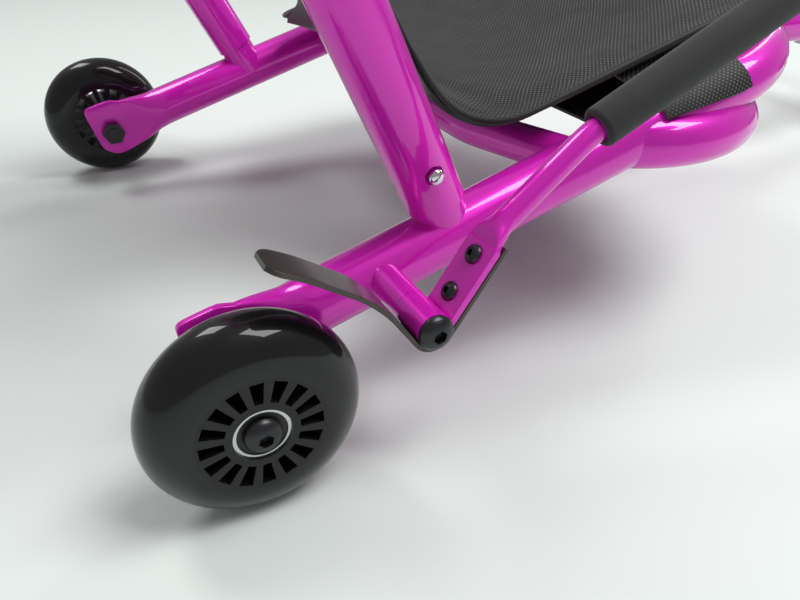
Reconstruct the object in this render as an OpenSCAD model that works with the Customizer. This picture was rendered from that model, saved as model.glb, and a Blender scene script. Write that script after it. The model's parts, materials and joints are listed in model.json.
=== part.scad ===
// Sit-down scooter: two rear wheels on a sloping tube frame, a bucket seat between the arms,
// a hand brake on the right wheel, and a telescopic front section that swings on a king bolt.
// X runs forward and Z up from the ground; the side with the hand brake is at negative Y.

/* [Rear wheels] */
// Diameter of a rear wheel
rear_wheel_d = 100; // [94:1:104]
// Width of a rear wheel across its flat faces
rear_wheel_w = 34; // [32:1:38]
// Distance of a rear wheel's middle outside the arm's middle
wheel_out = 47; // [45:1:55]
// Diameter of a rear hub where the tyre is cast on
rear_hub_d = 58; // [57:1:64]

/* [Bearings and axles] */
// Outer diameter of a wheel bearing
bearing_d = 26; // [24:1:27]
// Width of a wheel bearing
bearing_w = 8; // [7:0.5:9]
// Diameter of the wheel axles and of the brake pivot
axle_d = 10; // [9:0.5:11]
// Diameter of a button head on an axle
head_d = 17.5; // [16:0.5:19]
// Height of a button head on an axle
head_h = 5.5; // [4:0.5:6]
// Outer diameter of a spacer on an axle
spacer_d = 18; // [16:0.5:20]

/* [Frame arms] */
// Diameter of an arm tube
arm_d = 31.8; // [30:0.1:33]
// Wall of an arm tube
arm_wall = 2; // [1.5:0.1:3]
// Distance between the middles of the two arms
arm_spacing = 360; // [354:1:364]
// Slope of the arms, rising forward
arm_pitch = 15.9; // [15:0.1:17]
// Height of the arms' centre line above the ground at the rear axle
arm_z0 = 51.7; // [50:0.1:54]
// Length of the straight arms, measured from the rear axle
arm_l = 325; // [318:1:332]
// Thickness of the flattened end that holds the axle
tab_t = 5; // [4:0.2:6]

/* [Seat rail and cross tube] */
// Bend radius of the seat rail that joins the arms in front
rail_r = 60; // [54:1:66]
// Diameter of the cross tube under the seat
cross_d = 22.2; // [20:0.1:24]
// Distance of the cross tube's ends from the rear axle, along the arms
cross_a = 212; // [206:1:216]
// Height of the cross tube above the arms' centre line
cross_h = 4; // [0:0.1:4.5]
// Length of the angled ends of the cross tube, to the arm's centre line
cross_end = 75; // [60:1:90]
// Bend radius of the cross tube
cross_r = 90; // [80:1:100]

/* [Front bow] */
// Diameter of the front bow tube
bow_d = 31; // [29:0.5:32]
// Distance of the bow's cross stretch from the rear axle
bow_x = 350; // [344:1:354]
// Bend radius of the bow
bow_r = 70; // [66:1:74]
// Height of the bow's centre line below the arm where they meet
bow_drop = 2; // [0:0.5:4]

/* [Steering head] */
// Length of the neck between the bow and the head tube
neck_l = 38; // [34:1:50]
// Outer diameter of the head tube
head_tube_d = 42; // [38:1:44]
// Inner diameter of the head tube
head_bore = 32; // [28:1:34]
// Length of the head tube
head_tube_l = 56; // [50:1:60]
// Diameter of the king bolt
king_d = 12; // [10:0.5:14]
// Furthest steering angle to either side
steer_limit = 40; // [30:1:42]

/* [Telescopic tube] */
// Outer diameter of the outer tube
outer_d = 38; // [37:0.5:42]
// Wall of the outer tube
outer_wall = 2.5; // [2:0.1:2.7]
// Length of the outer tube
outer_l = 185; // [175:1:200]
// Outer diameter of the inner tube
inner_d = 28.6; // [27:0.1:29]
// Wall of the inner tube
inner_wall = 2; // [1.5:0.1:2.5]
// How far the inner tube shows in front of the outer one when pushed in
inner_show = 85; // [75:1:95]
// How far the inner tube pulls out
travel = 120; // [80:1:120]

/* [Front wheel and fork] */
// Diameter of the front wheel
front_wheel_d = 145; // [140:1:150]
// Width of the front wheel across its flat faces
front_wheel_w = 30; // [28:1:32]
// Diameter of the front hub where the tyre is cast on
front_hub_d = 90; // [80:1:96]
// Distance from the foot bar to the front axle
fork_reach = 96; // [94:1:110]
// Clear gap between the front wheel and a fork blade
fork_gap = 7; // [5:0.5:9]
// Thickness of a fork blade
blade_t = 5; // [4:0.5:6]

/* [Foot bar] */
// Length of the foot bar over its end caps
foot_bar_l = 500; // [496:1:520]
// Diameter of the foot bar
foot_bar_d = 25.4; // [22:0.1:26]
// Diameter of a foot grip
foot_grip_d = 36; // [32:1:42]
// Length of a foot grip
foot_grip_l = 125; // [100:1:140]

/* [Backrest] */
// Diameter of the backrest tube
post_d = 31; // [30:0.5:33]
// Wall of the backrest tube
post_wall = 1.5; // [1.2:0.1:2]
// Distance of a stub's foot from the rear axle, along the arms
post_a = 131; // [128:1:134]
// Distance of a stub's foot inside the arm's middle
post_in = 3; // [1:1:5]
// Lean of the backrest away from square to the arms
back_lean = 10.5; // [9.5:0.1:11.5]
// Outward splay of the backrest posts
splay = 6.6; // [5:0.1:8]
// Height of the backrest's top tube above the arms, along the lean
back_h = 255; // [250:1:262]
// Bend radius of the backrest tube
back_r = 55; // [45:1:65]
// Gap between the arms' centre line and the backrest tube's lower end
sleeve_s = 23.5; // [22:0.5:26]
// Length of a stub above the lower end of the backrest tube
stub_in = 52; // [45:1:60]
// Distance of a snap button above the lower end of the backrest tube
button_s = 24.7; // [20:0.1:30]
// Diameter of a snap button
button_d = 7.8; // [6:0.1:9]
// How far a snap button stands out of the backrest tube
button_out = 4; // [3:0.1:5]

/* [Seat] */
// Distance of the seat's sides inside the arms' middle
seat_in_y = 13.5; // [12:0.5:16]
// Height of the seat's rim above the arms' centre line
seat_rim = 36.4; // [35:0.1:38]
// Thickness of the mesh pad
pad_t = 3; // [2.5:0.1:4]
// Thickness of the moulded seat shell
shell_t = 3; // [2.5:0.1:4]
// Diameter of the piping round the seat
piping_d = 3.4; // [3:0.1:4]
// Thickness of the seat pan
pan_t = 2; // [1.5:0.1:2.5]
// Distance of the pan's rear edge from the rear axle, along the arms
pan_a = 236; // [232:1:242]
// Height of the pan's top above the arms' centre line
pan_h = 11; // [10:0.1:11.5]
// Thickness of the mesh covers over the arms
wing_t = 3; // [2.5:0.5:6]

/* [Hand brake] */
// Distance of the brake pivot from the rear axle, along the arms
brake_a = 85.5; // [84:0.5:90]
// Height of the brake pivot above the arms' centre line
brake_h = 1.5; // [0:0.1:2]
// Outer diameter of the brake boss and hub
brake_hub_d = 17; // [16:0.5:19]
// Length of the brake boss from the arm's centre line
boss_l = 41; // [39:0.5:43]
// Length of the brake hub, which is also the width of the lever's plate and band
brake_w = 22; // [20:0.5:24]
// Slope of the lever's flattened plate
plate_slope = 54.2; // [50:0.1:58]
// Length of the lever's flattened plate from the pivot
plate_l = 47; // [44:0.5:50]
// Thickness of the lever's flattened plate
plate_t = 4; // [3:0.1:4.5]
// Thickness of the brake band
band_t = 3; // [2:0.1:3.5]
// Diameter of the lever tube
lever_d = 11.5; // [11:0.1:14]
// Slope of the lever tube above the plate
lever_slope = 38.2; // [36:0.1:41]
// Slope of the lever's handle
handle_slope = 24.7; // [22:0.1:28]
// Length of the handle grip
brake_grip_l = 125; // [100:1:140]
// Diameter of the handle grip
brake_grip_d = 19.5; // [18:0.5:24]
// Diameter of the screws that hold the band
band_screw_d = 5; // [4:0.5:6]

/* [Hidden] */
$fn = 96;

paint = "#c92ea6";
black = "#1b1b1d";
steel = "#b9bcc0";

run_gap = 0.05;
fit_gap = 0.1;
seat_gap = 0.2;

arm_y = arm_spacing / 2;
arm_r = arm_d / 2;
post_y = arm_y - post_in;
seat_half = arm_y - seat_in_y;
wheel_y = arm_y + wheel_out;
rear_z = rear_wheel_d / 2;
rail_a = arm_l + rail_r;

bow_start = [240, arm_y];
bow_c = [bow_x - bow_r, bow_start.y - sqrt(bow_r * bow_r - pow(bow_x - bow_r - bow_start.x, 2))];
bow_z = arm_z0 + bow_start.x * tan(arm_pitch) - bow_drop;
bow_turn = 180 - atan2(bow_start.y - bow_c.y, bow_c.x - bow_start.x);

head_x = bow_x + bow_d / 2 + neck_l + head_tube_d / 2;
flange_t = 2;
ear_t = 6;
ear_r = 22;
yoke_gap = 4.2;
web_t = 8;
web_x = head_x + head_tube_d / 2 + yoke_gap;
outer_x = web_x + web_t;
lip_t = 2;
foot_x = outer_x + outer_l + lip_t + inner_show + foot_bar_d / 2;
crown_w = 30;
inner_grip = 165;
front_z = front_wheel_d / 2;
front_x = foot_x + fork_reach;
mid_x = (front_x + front_wheel_d / 2 - rear_wheel_d / 2) / 2;

brake_x = brake_a * cos(arm_pitch) - brake_h * sin(arm_pitch);
brake_z = arm_z0 + brake_a * sin(arm_pitch) + brake_h * cos(arm_pitch);
boss_end = arm_y + boss_l;
hub_end = boss_end + brake_w;

stub_d = post_d - 2 * post_wall - 2 * fit_gap;
stub_wall = 2;
button_z = sleeve_s + button_s;

// Puts the origin under the middle of the scooter; the modules count X from the rear axle.
module place() translate([-mid_x, 0, 0]) children();

// Frame of the sloping arms: X along them from the rear axle, Z square to them.
module on_arms() place() translate([0, 0, arm_z0]) rotate([0, -arm_pitch, 0]) children();

// Level frame of the bow and the front section.
module on_bow() place() translate([0, 0, bow_z]) children();

// Frame of the backrest tube's plane, and of the left post in it.
module on_back() on_arms() translate([post_a, 0, 0]) rotate([0, -back_lean, 0]) children();
module on_post() on_back() translate([0, -post_y, 0]) rotate([splay, 0, 0]) children();

module mirrored() mirror([0, 1, 0]) children();

module along_x(d, h) rotate([0, 90, 0]) cylinder(d = d, h = h);
module along_y(d, h) rotate([-90, 0, 0]) cylinder(d = d, h = h);

// Outer skin of both arms, to cope other tubes against them.
module arm_skin() on_arms() for (s = [-1, 1]) translate([0, s * arm_y, 0]) along_x(arm_d, arm_l + 1);

// Outer skin of the seat rail's bends.
module rail_skin() on_arms() for (m = [0, 1]) mirror([0, m, 0]) translate([arm_l, arm_y - rail_r, 0])
    rotate_extrude(angle = 90) translate([rail_r, 0]) circle(d = arm_d);

// Dome head of a socket screw, standing on Z = 0 and pointing up.
module button_head(d, h, hex) difference() {
    rotate_extrude() polygon(concat([[0, 0]], [for (i = [0 : 8])
        [d / 2 * cos(i * 9), h * (0.12 + 0.88 * sin(i * 9) / sin(72))]], [[0, h]]));
    translate([0, 0, h * 0.45]) rotate([0, 0, 15]) cylinder(d = hex / cos(30), h = h, $fn = 6);
}

// Button head screw: head on Z = 0, shaft below it.
module screw(d, length, head, head_h, hex) union() {
    button_head(head, head_h, hex);
    translate([0, 0, -length]) cylinder(d = d, h = length + head_h * 0.3);
}

// Hexagon nut with a bore, standing on Z = 0.
module hex_nut(af, h, bore) difference() {
    cylinder(d = af / cos(30), h = h, $fn = 6);
    translate([0, 0, -1]) cylinder(d = bore, h = h + 2);
}

/* Frame */

tab_in = 2.3;
tab_front = 12;
taper_end = 50;
inset = 0.1;

module arm() color(paint) on_arms() translate([0, -arm_y, 0]) difference() {
    union() {
        translate([taper_end - 0.5, 0, 0]) along_x(arm_d, arm_l - taper_end + 0.5);
        hull() {
            translate([tab_front - 2, tab_in - tab_t / 2 + inset, inset - 21])
                cube([2.1, tab_t - 2 * inset, 45.5 - 2 * inset]);
            translate([taper_end, 0, 0]) rotate([0, 90, 0]) cylinder(d = arm_d - 6 * inset, h = 1.5, $fn = 32);
        }
        translate([0, tab_in + tab_t / 2, 0]) rotate([90, 0, 0]) linear_extrude(tab_t)
            polygon([[tab_front, 24.5], [-10, 24], [-18, 17], [-21, 9], [-21, -9], [-11, -22], [-7, -23.5],
                [tab_front, -21]]);
    }
    translate([taper_end + 0.7, 0, 0]) along_x(arm_d - 2 * arm_wall, arm_l);
    rotate([0, arm_pitch, 0]) translate([0, 0, rear_z - arm_z0]) translate([0, -arm_r, 0])
        along_y(axle_d, arm_d);
}

module arm_right() arm();
module arm_left() mirrored() arm();

// Tube bent to radius r through the given angle, from Y = 0 on the X axis.
module bend(r, turn, d, wall) rotate_extrude(angle = turn) translate([r, 0]) difference() {
    circle(d = d);
    circle(d = d - 2 * wall);
}

// Bend that laps into a straight tube of diameter d at each end, its wall a little thinner.
lap = 1;
shy = 0.03;
module lapped_bend(r, turn, d, wall) bend(r, turn, d - 2 * shy, wall - 2 * shy);

module straight(d, wall, h) difference() {
    cylinder(d = d, h = h);
    translate([0, 0, -1]) cylinder(d = d - 2 * wall, h = h + 2);
}

module seat_rail() color(paint) on_arms() union() {
    side_y = arm_y - rail_r;
    for (m = [0, 1]) mirror([0, m, 0]) translate([arm_l, side_y, 0]) bend(rail_r, 90, arm_d, arm_wall);
    translate([rail_a, -side_y, 0]) rotate([-90, 0, 0]) straight(arm_d, arm_wall, 2 * side_y);
}

cross_wall = 1.5;
cross_turn = 11;
module cross_tube() color(paint) difference() {
    on_arms() translate([cross_a, 0, cross_h]) union() {
        flat_y = arm_y - cross_end * cos(cross_turn) - cross_r * sin(cross_turn);
        back = cross_end * sin(cross_turn) + cross_r * (1 - cos(cross_turn));
        translate([-back, -flat_y - lap, 0]) rotate([-90, 0, 0])
            straight(cross_d, cross_wall, 2 * (flat_y + lap));
        for (m = [0, 1]) mirror([0, m, 0]) translate([cross_r - back, -flat_y, 0]) rotate([0, 0, 180]) {
            lapped_bend(cross_r, cross_turn, cross_d, cross_wall);
            rotate([0, 0, cross_turn]) translate([cross_r, -lap, 0]) rotate([-90, 0, 0])
                straight(cross_d, cross_wall, cross_end + lap);
        }
    }
    arm_skin();
}

bow_wall = 2;
module front_bow() color(paint) difference() {
    on_bow() union() {
        for (m = [0, 1]) mirror([0, m, 0]) translate([bow_c.x, bow_c.y, 0])
            bend(bow_r, bow_turn, bow_d, bow_wall);
        translate([bow_x, -bow_c.y, 0]) rotate([-90, 0, 0]) straight(bow_d, bow_wall, 2 * bow_c.y);
    }
    arm_skin();
    rail_skin();
}

// Space that the bow's bends take up, with a clearance round them.
module bow_skin(clear) on_bow() for (m = [0, 1]) mirror([0, m, 0]) translate([bow_c.x, bow_c.y, 0])
    rotate_extrude(angle = bow_turn) translate([bow_r, 0]) circle(d = bow_d + 2 * clear);

lug_y = 30;
lug_z = 10;
neck_d = bow_d - 2;
module head_tube() color(paint) on_bow() difference() {
    lug_x = (head_tube_d / 2 + yoke_gap - seat_gap - lug_y * sin(steer_limit)) / cos(steer_limit);
    union() {
        translate([head_x, 0, -head_tube_l / 2]) cylinder(d = head_tube_d, h = head_tube_l);
        difference() {
            translate([bow_x, 0, 0]) along_x(neck_d, head_x - bow_x);
            translate([bow_x, -bow_d, 0]) along_y(bow_d, 2 * bow_d);
        }
        translate([head_x - 6, -lug_y, -lug_z]) cube([6 + lug_x, 2 * lug_y, 2 * lug_z]);
    }
    translate([head_x, 0, -head_tube_l]) cylinder(d = head_bore, h = 2 * head_tube_l);
    translate([bow_x, 0, 0]) along_x(neck_d - 2 * bow_wall, bow_d / 2 + neck_l - 3);
}

bush_l = 20;
module head_bushes() color(black) on_bow() for (s = [-1, 1]) translate([head_x, 0, 0])
    rotate([s < 0 ? 180 : 0, 0, 0]) difference() {
        union() {
            translate([0, 0, head_tube_l / 2 - bush_l]) cylinder(d = head_bore, h = bush_l);
            translate([0, 0, head_tube_l / 2]) cylinder(d = head_tube_d, h = flange_t);
        }
        cylinder(d = king_d + 2 * run_gap, h = head_tube_l);
    }

module brake_boss() color(paint) difference() {
    place() translate([brake_x, -boss_end, brake_z]) along_y(brake_hub_d, boss_l);
    place() translate([brake_x, -boss_end - 1, brake_z]) along_y(axle_d, boss_l + arm_d);
    arm_skin();
}

/* Backrest */

module backrest_stubs() color(paint) for (m = [0, 1]) mirror([0, m, 0]) difference() {
    on_post() difference() {
        cylinder(d = stub_d, h = sleeve_s + stub_in);
        translate([0, 0, -1]) cylinder(d = stub_d - 2 * stub_wall, h = sleeve_s + stub_in + 2);
        translate([0, 0, button_z]) rotate([90, 0, 0]) cylinder(d = button_d + 2 * run_gap, h = stub_d);
    }
    arm_skin();
}

arc_s = back_h - back_r;
post_l = (arc_s - back_r * sin(splay)) / cos(splay);
arc_y = post_y + post_l * sin(splay) - back_r * cos(splay);
hole_r = button_d / 2 + 1.1;

module backrest_frame() color(paint) difference() {
    union() {
        for (m = [0, 1]) mirror([0, m, 0]) on_back() translate([0, -arc_y, arc_s]) rotate([90, 0, -90])
            rotate([0, 0, -splay]) {
                lapped_bend(back_r, 90 + splay, post_d, post_wall);
                translate([back_r, lap, 0]) rotate([90, 0, 0])
                    straight(post_d, post_wall, post_l - sleeve_s + lap);
            }
        on_back() translate([0, -arc_y - lap, back_h]) rotate([-90, 0, 0])
            straight(post_d, post_wall, 2 * (arc_y + lap));
    }
    for (m = [0, 1]) mirror([0, m, 0]) on_post() translate([0, 0, button_z]) rotate([90, 0, 0])
        cylinder(r = hole_r, h = post_d);
    back_bolt_places() rotate([0, 90, 0]) translate([0, 0, -post_d]) cylinder(d = screw_d, h = 2 * post_d);
}

button_flange = 1.5;
flange_r = button_d / 2 + 1;
stub_bore_r = stub_d / 2 - stub_wall;
button_y = sqrt(stub_bore_r * stub_bore_r - flange_r * flange_r) - fit_gap;
button_tip = post_d / 2 + button_out;
spring_w = 8;
spring_t = 0.8;

// Domed button with the V spring that it is riveted to, inside the stub.
module snap_button() color(steel) on_post() translate([0, 0, button_z]) {
    near = button_y - 0.2;
    rotate([90, 0, 0]) union() {
        translate([0, 0, button_y - button_flange]) cylinder(r = flange_r, h = button_flange);
        rotate_extrude() polygon(concat([[0, button_y - 0.5], [button_d / 2, button_y - 0.5]],
            [for (i = [0 : 9]) [button_d / 2 * cos(i * 10), button_tip - 2.2 + 2.2 * sin(i * 10)]]));
    }
    translate([-spring_w / 2, 0, 0]) rotate([90, 0, 90]) linear_extrude(spring_w)
        polygon([[-near, -6], [-near, 18.3], [4 - near, 26.6], [5.2 - near, 26.6], [4.6, 2], [3.8, 1.8],
            [4.6 - near, 24.8], [spring_t - near, 17.8], [spring_t - near, -6]]);
}
module snap_button_right() snap_button();
module snap_button_left() mirrored() snap_button();

/* Seat */

// Cross-sections of the seat, from the front lip over the seat and up the back, in the arms' frame:
// middle along and up, half width less the seat's, then rim along, and rim height above the seat's rim.
sections = [[414, -5, -44, 413, -37], [416, 11, -22, 412, -22], [404, 24, -9, 400, -8], [378, 27, -2, 376, 0],
    [345, 25, 0, 345, 0], [308, 22, 0, 308, 0], [271, 22, 0, 271, 0], [240, 24, 0, 243, 0],
    [212, 29, 0, 212, 0], [192, 35, -1, 190, 0], [182, 40, -9, 175, 2], [176.5, 45, -28, 170, 5],
    [171, 54, -53, 171, 11], [167.5, 66, -75, 174, 22], [163, 85, -85, 173, 37], [155, 113, -85, 166, 66],
    [145, 148, -74, 157, 104], [135, 183, -58, 150, 143], [126, 218, -50, 141, 182],
    [117, 248, -54, 131, 214], [112, 268, -68, 122, 235], [109, 279, -92, 115, 247]];
rows = len(sections) - 1;
cols = 16;
dish = 2.5;

function mix(a, b, t) = a + (b - a) * t;
function section(u) = let (i = min(floor(u), rows - 1)) mix(sections[i], sections[i + 1], u - i);
// Point of the seat's upper surface at section u and share v of the half width.
function top_at(u, v) = let (c = section(u), k = pow(abs(v), dish))
    [mix(c[0], c[3], k), v * (seat_half + c[2]), mix(c[1], seat_rim + c[4], k)];
function unit(p) = p / norm(p);
function normal_at(u, side) = let (e = 0.5, v = max(min(side, 0.9), -0.9),
    du = top_at(min(u + e, rows), v) - top_at(max(u - e, 0), v),
    dv = top_at(u, v + 0.06) - top_at(u, v - 0.06)) unit(cross(dv, du));
// Point at a depth below the upper surface.
function seat_at(u, v, depth) = top_at(u, v) - normal_at(u, v) * depth;

// Closed sheet that follows the seat between two depths, over a share of its width.
module seat_sheet(upper, lower, share = 1) {
    nv = cols + 1;
    layer = (rows + 1) * nv;
    points = [for (d = [upper, lower]) for (i = [0 : rows]) for (j = [0 : cols])
        seat_at(i, share * (2 * j / cols - 1), d)];
    faces = [for (i = [0 : rows - 1]) for (j = [0 : cols - 1]) let (a = i * nv + j, b = a + nv)
            each [[a, b + 1, a + 1], [a, b, b + 1], [layer + a, layer + a + 1, layer + b + 1],
                [layer + a, layer + b + 1, layer + b]],
        for (i = [0 : rows - 1]) let (a = i * nv, b = a + nv, c = a + cols, e = b + cols)
            each [[a, layer + b, b], [a, layer + a, layer + b], [c, e, layer + e], [c, layer + e, layer + c]],
        for (j = [0 : cols - 1]) let (a = j, b = rows * nv + j)
            each [[a, a + 1, layer + a + 1], [a, layer + a + 1, layer + a],
                [b, layer + b + 1, b + 1], [b, layer + b, layer + b + 1]]];
    polyhedron(points, faces);
}

sheet_gap = 0.3;
shell_top = pad_t + sheet_gap;
shell_bottom = shell_top + shell_t;
shell_share = 0.975;
screw_d = 6;

module seat_pad() color(black) on_arms() seat_sheet(0, pad_t);

module seat_shell() color("#2c2c2e") difference() {
    on_arms() seat_sheet(shell_top, shell_bottom, shell_share);
    seat_bolt_places() cylinder(d = screw_d, h = low_gap() + 3);
    back_bolt_places() rotate([0, 90, 0]) cylinder(d = screw_d, h = back_reach + 3);
}

// Piping that runs round the seat's rim, just outside it.
piping_sides = 8;
rim_path = [for (j = [0 : 2 : cols]) [0, 2 * j / cols - 1], for (i = [1 : rows - 1]) [i, 1],
    for (j = [cols : -2 : 0]) [rows, 2 * j / cols - 1], for (i = [rows - 1 : -1 : 1]) [i, -1]];
function rim_mid(k) = let (p = rim_path[k]) seat_at(p[0], p[1], pad_t / 2);
module seat_piping() color(black) on_arms() {
    n = len(rim_path);
    r = piping_d / 2;
    mids = [for (k = [0 : n - 1]) rim_mid(k)];
    points = [for (k = [0 : n - 1]) let (from = unit(mids[k] - mids[(k + n - 1) % n]),
        to = unit(mids[(k + 1) % n] - mids[k]), miter = sqrt(2 / (1 + from * to)), t = unit(from + to),
        p = rim_path[k], up = normal_at(p[0], p[1]), out = unit(cross(t, up)), up2 = cross(out, t))
        for (s = [0 : piping_sides - 1]) let (a = s * 360 / piping_sides)
            mids[k] + out * (r + sheet_gap * 1.5) * miter + (out * cos(a) + up2 * sin(a)) * r];
    faces = [for (k = [0 : n - 1]) for (s = [0 : piping_sides - 1])
        let (a = k * piping_sides + s, b = k * piping_sides + (s + 1) % piping_sides,
            c = ((k + 1) % n) * piping_sides + s, e = ((k + 1) % n) * piping_sides + (s + 1) % piping_sides)
            each [[a, b, e], [a, e, c]]];
    polyhedron(points, faces);
}

// Mesh cover that runs out from under the seat's rim and down over the arm.
cover_from = 254;
cover_to = 322;
cover_low = 22;
cover_high = 66;
cover_cut = 29;
cover_edge = 10.5;
module arm_cover() color(black) difference() {
    in_r = arm_r + seat_gap;
    out_r = in_r + wing_t;
    lip = arm_y - (seat_half * shell_share - 2);
    under = seat_rim - shell_bottom - 1.6;
    on_arms() translate([cover_from, -arm_y, 0]) rotate([90, 0, 90]) linear_extrude(cover_to - cover_from)
        mirror([1, 0]) polygon(concat([[-lip, under], [3 - lip, under + 0.6]],
            arc_points([0, 0], out_r, cover_high, cover_low), arc_points([0, 0], in_r, cover_low, 82),
            [[-lip, under - 3]]));
    on_arms() translate([cover_from, 0, seat_rim]) rotate([90, 0, 0]) linear_extrude(2 * arm_y)
        polygon([[-20 * tan(cover_cut), 20], [-60, 20], [-60, -90], [cover_edge, -90],
            [cover_edge, -cover_edge / tan(cover_cut)]]);
    bow_skin(seat_gap);
}
module arm_cover_right() arm_cover();
module arm_cover_left() mirrored() arm_cover();

function arc_points(c, r, from, to) = [for (i = [0 : 12]) let (a = mix(from, to, i / 12))
    c + r * [cos(a), sin(a)]];
module seat_pan() color(black) difference() {
    on_arms() union() {
        edge = sqrt(arm_r * arm_r - pow(pan_h - pan_t, 2)) + seat_gap;
        side = arm_y - edge;
        corner = rail_r - edge;
        c = [arm_l, arm_y - rail_r];
        translate([0, 0, pan_h - pan_t]) linear_extrude(pan_t) polygon(concat(
            [[pan_a, -side], [pan_a, side]], arc_points(c, corner, 90, 0),
            arc_points([c.x, -c.y], corner, 0, -90)));
    }
    seat_bolt_places() translate([0, 0, -50]) cylinder(d = screw_d, h = 60);
}

// The four places where the seat is screwed to the pan, on the pan's top.
seat_bolt_u = [4.4, 6.6];
seat_bolt_v = 0.5;
module seat_bolt_places() on_arms() for (u = seat_bolt_u) for (v = [-1, 1])
    translate([seat_under(u, v).x, seat_under(u, v).y, pan_h]) children();
function seat_under(u, v) = seat_at(u, v * seat_bolt_v, shell_bottom);
function low_gap() = min([for (u = seat_bolt_u) seat_under(u, 1).z]) - pan_h;
// Lowest point of the shell's underside over a spacer's end.
function spacer_top(u) = min([for (i = [-0.25, 0.25]) for (j = [-0.05, 0.05])
    seat_at(u + i, seat_bolt_v + j, shell_bottom).z]);

module seat_spacers() color(black) {
    on_arms() for (u = seat_bolt_u) for (v = [-1, 1])
        translate([seat_under(u, v).x, seat_under(u, v).y, pan_h])
            straight(screw_d * 2.4, screw_d * 0.7, spacer_top(u) - pan_h - fit_gap);
    back_bolt_places() difference() {
        rotate([0, 90, 0]) straight(screw_d * 2.4, screw_d * 0.7, back_reach - 1.1);
        translate([0, -post_d, 0]) along_y(post_d, 2 * post_d);
    }
}

module seat_screws() color(black) {
    seat_bolt_places() translate([0, 0, -pan_t]) rotate([180, 0, 0])
        screw(screw_d, low_gap() + pan_t + 2, screw_d * 1.9, 3.3, 4);
    back_bolt_places() translate([-post_d / 2, 0, 0]) rotate([0, -90, 0])
        screw(screw_d, post_d / 2 + back_reach + 2, screw_d * 1.9, 3.3, 4);
}

// The two places where the back is screwed to the backrest's top tube, X towards the seat.
back_bolt_u = 19.4;
back_bolt_y = 62;
function to_back(p) = [(p.x - post_a) * cos(back_lean) + p.z * sin(back_lean), p.y,
    -(p.x - post_a) * sin(back_lean) + p.z * cos(back_lean)];
back_bolt_v = back_bolt_y / (seat_half + section(back_bolt_u)[2]);
back_reach = to_back(seat_at(back_bolt_u, back_bolt_v, shell_bottom)).x;
module back_bolt_places() on_back() for (s = [-1, 1]) translate([0, s * back_bolt_y, back_h]) children();

/* Rear axles and wheels */

seat_in = 1;
rear_face = rear_wheel_w / 2 - seat_in;
tab_out = arm_y - tab_in + tab_t / 2;
tab_inner = tab_out - tab_t;
nut_h = 8;

module rear_axle_bolts() color(black) place() for (m = [0, 1]) mirror([0, m, 0])
    translate([0, -wheel_y - rear_face, rear_z]) rotate([90, 0, 0])
        screw(axle_d, wheel_y + rear_face - tab_inner + nut_h + 1, head_d, head_h, 6);

module rear_axle_nuts() color(steel) place() for (m = [0, 1]) mirror([0, m, 0])
    translate([0, -tab_inner, rear_z]) rotate([-90, 0, 0]) hex_nut(16, nut_h, axle_d);

module rear_axle_spacers() color(paint) place() for (m = [0, 1]) mirror([0, m, 0])
    translate([0, -wheel_y + rear_face + seat_gap, rear_z]) rotate([-90, 0, 0])
        straight(spacer_d - 4, (spacer_d - 4 - axle_d) / 2, wheel_y - rear_face - seat_gap - tab_out);

// Half profile of a cast tyre: flat sides that round over the tread as an ellipse.
module tyre_profile(d, w, hub_d, rib_w, rib_h) {
    crown = (d - hub_d) / 2 - 1;
    polygon(concat([[hub_d / 2, -w / 2]],
        [for (i = [0 : 20]) let (a = -90 + i * 9) [d / 2 - crown + crown * pow(cos(a), 0.95), w / 2 * sin(a)]],
        [[hub_d / 2, w / 2], [hub_d / 2, rib_w / 2], [hub_d / 2 + rib_h, rib_w / 2 - 1],
            [hub_d / 2 + rib_h, 1 - rib_w / 2], [hub_d / 2, -rib_w / 2]]));
}

slot_count = 16;
rib_w = 14;
rib_h = 4;
rim_wall = 1.8;
boss_wall = 3.6;

module tyre(d, w, hub_d) color(black) rotate([90, 0, 0]) rotate_extrude()
    tyre_profile(d, w, hub_d, rib_w, rib_h);

// Cast hub: a rim with a rib under the tyre, a web with tapering slots, and a seat for two bearings.
module hub(w, hub_d) color(black) rotate([90, 0, 0]) difference() {
    slot_in = bearing_d / 2 + boss_wall;
    slot_out = hub_d / 2 - rim_wall;
    seat = w / 2 - seat_in - bearing_w;
    union() {
        cylinder(d = hub_d, h = w, center = true);
        rotate_extrude() polygon([[hub_d / 2 - 1, -rib_w / 2], [hub_d / 2, -rib_w / 2],
            [hub_d / 2 + rib_h, 1 - rib_w / 2], [hub_d / 2 + rib_h, rib_w / 2 - 1], [hub_d / 2, rib_w / 2],
            [hub_d / 2 - 1, rib_w / 2]]);
    }
    for (s = [-1, 1]) rotate([s < 0 ? 180 : 0, 0, 0]) translate([0, 0, seat])
        cylinder(d = bearing_d, h = w);
    cylinder(d = bearing_d - 4, h = 2 * w, center = true);
    for (i = [0 : slot_count - 1]) rotate([0, 0, i * 360 / slot_count]) linear_extrude(2 * w, center = true)
        polygon([[slot_in, -slot_in * 0.11], [slot_out, -slot_out * 0.115], [slot_out, slot_out * 0.115],
            [slot_in, slot_in * 0.11]]);
}

// Pair of ball bearings, each with a recessed seal between its rings.
module bearings(w) color(steel) rotate([90, 0, 0]) for (s = [-1, 1]) rotate([s < 0 ? 180 : 0, 0, 0])
    translate([0, 0, w / 2 - seat_in - bearing_w]) rotate_extrude() {
        r0 = axle_d / 2 + run_gap;
        r1 = bearing_d / 2;
        polygon([[r0, 0], [r0 + 2, 0], [r0 + 2, 0.5], [r1 - 1.8, 0.5], [r1 - 1.8, 0], [r1, 0], [r1, bearing_w],
            [r1 - 1.8, bearing_w], [r1 - 1.8, bearing_w - 0.5], [r0 + 2, bearing_w - 0.5], [r0 + 2, bearing_w],
            [r0, bearing_w]]);
    }

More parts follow.
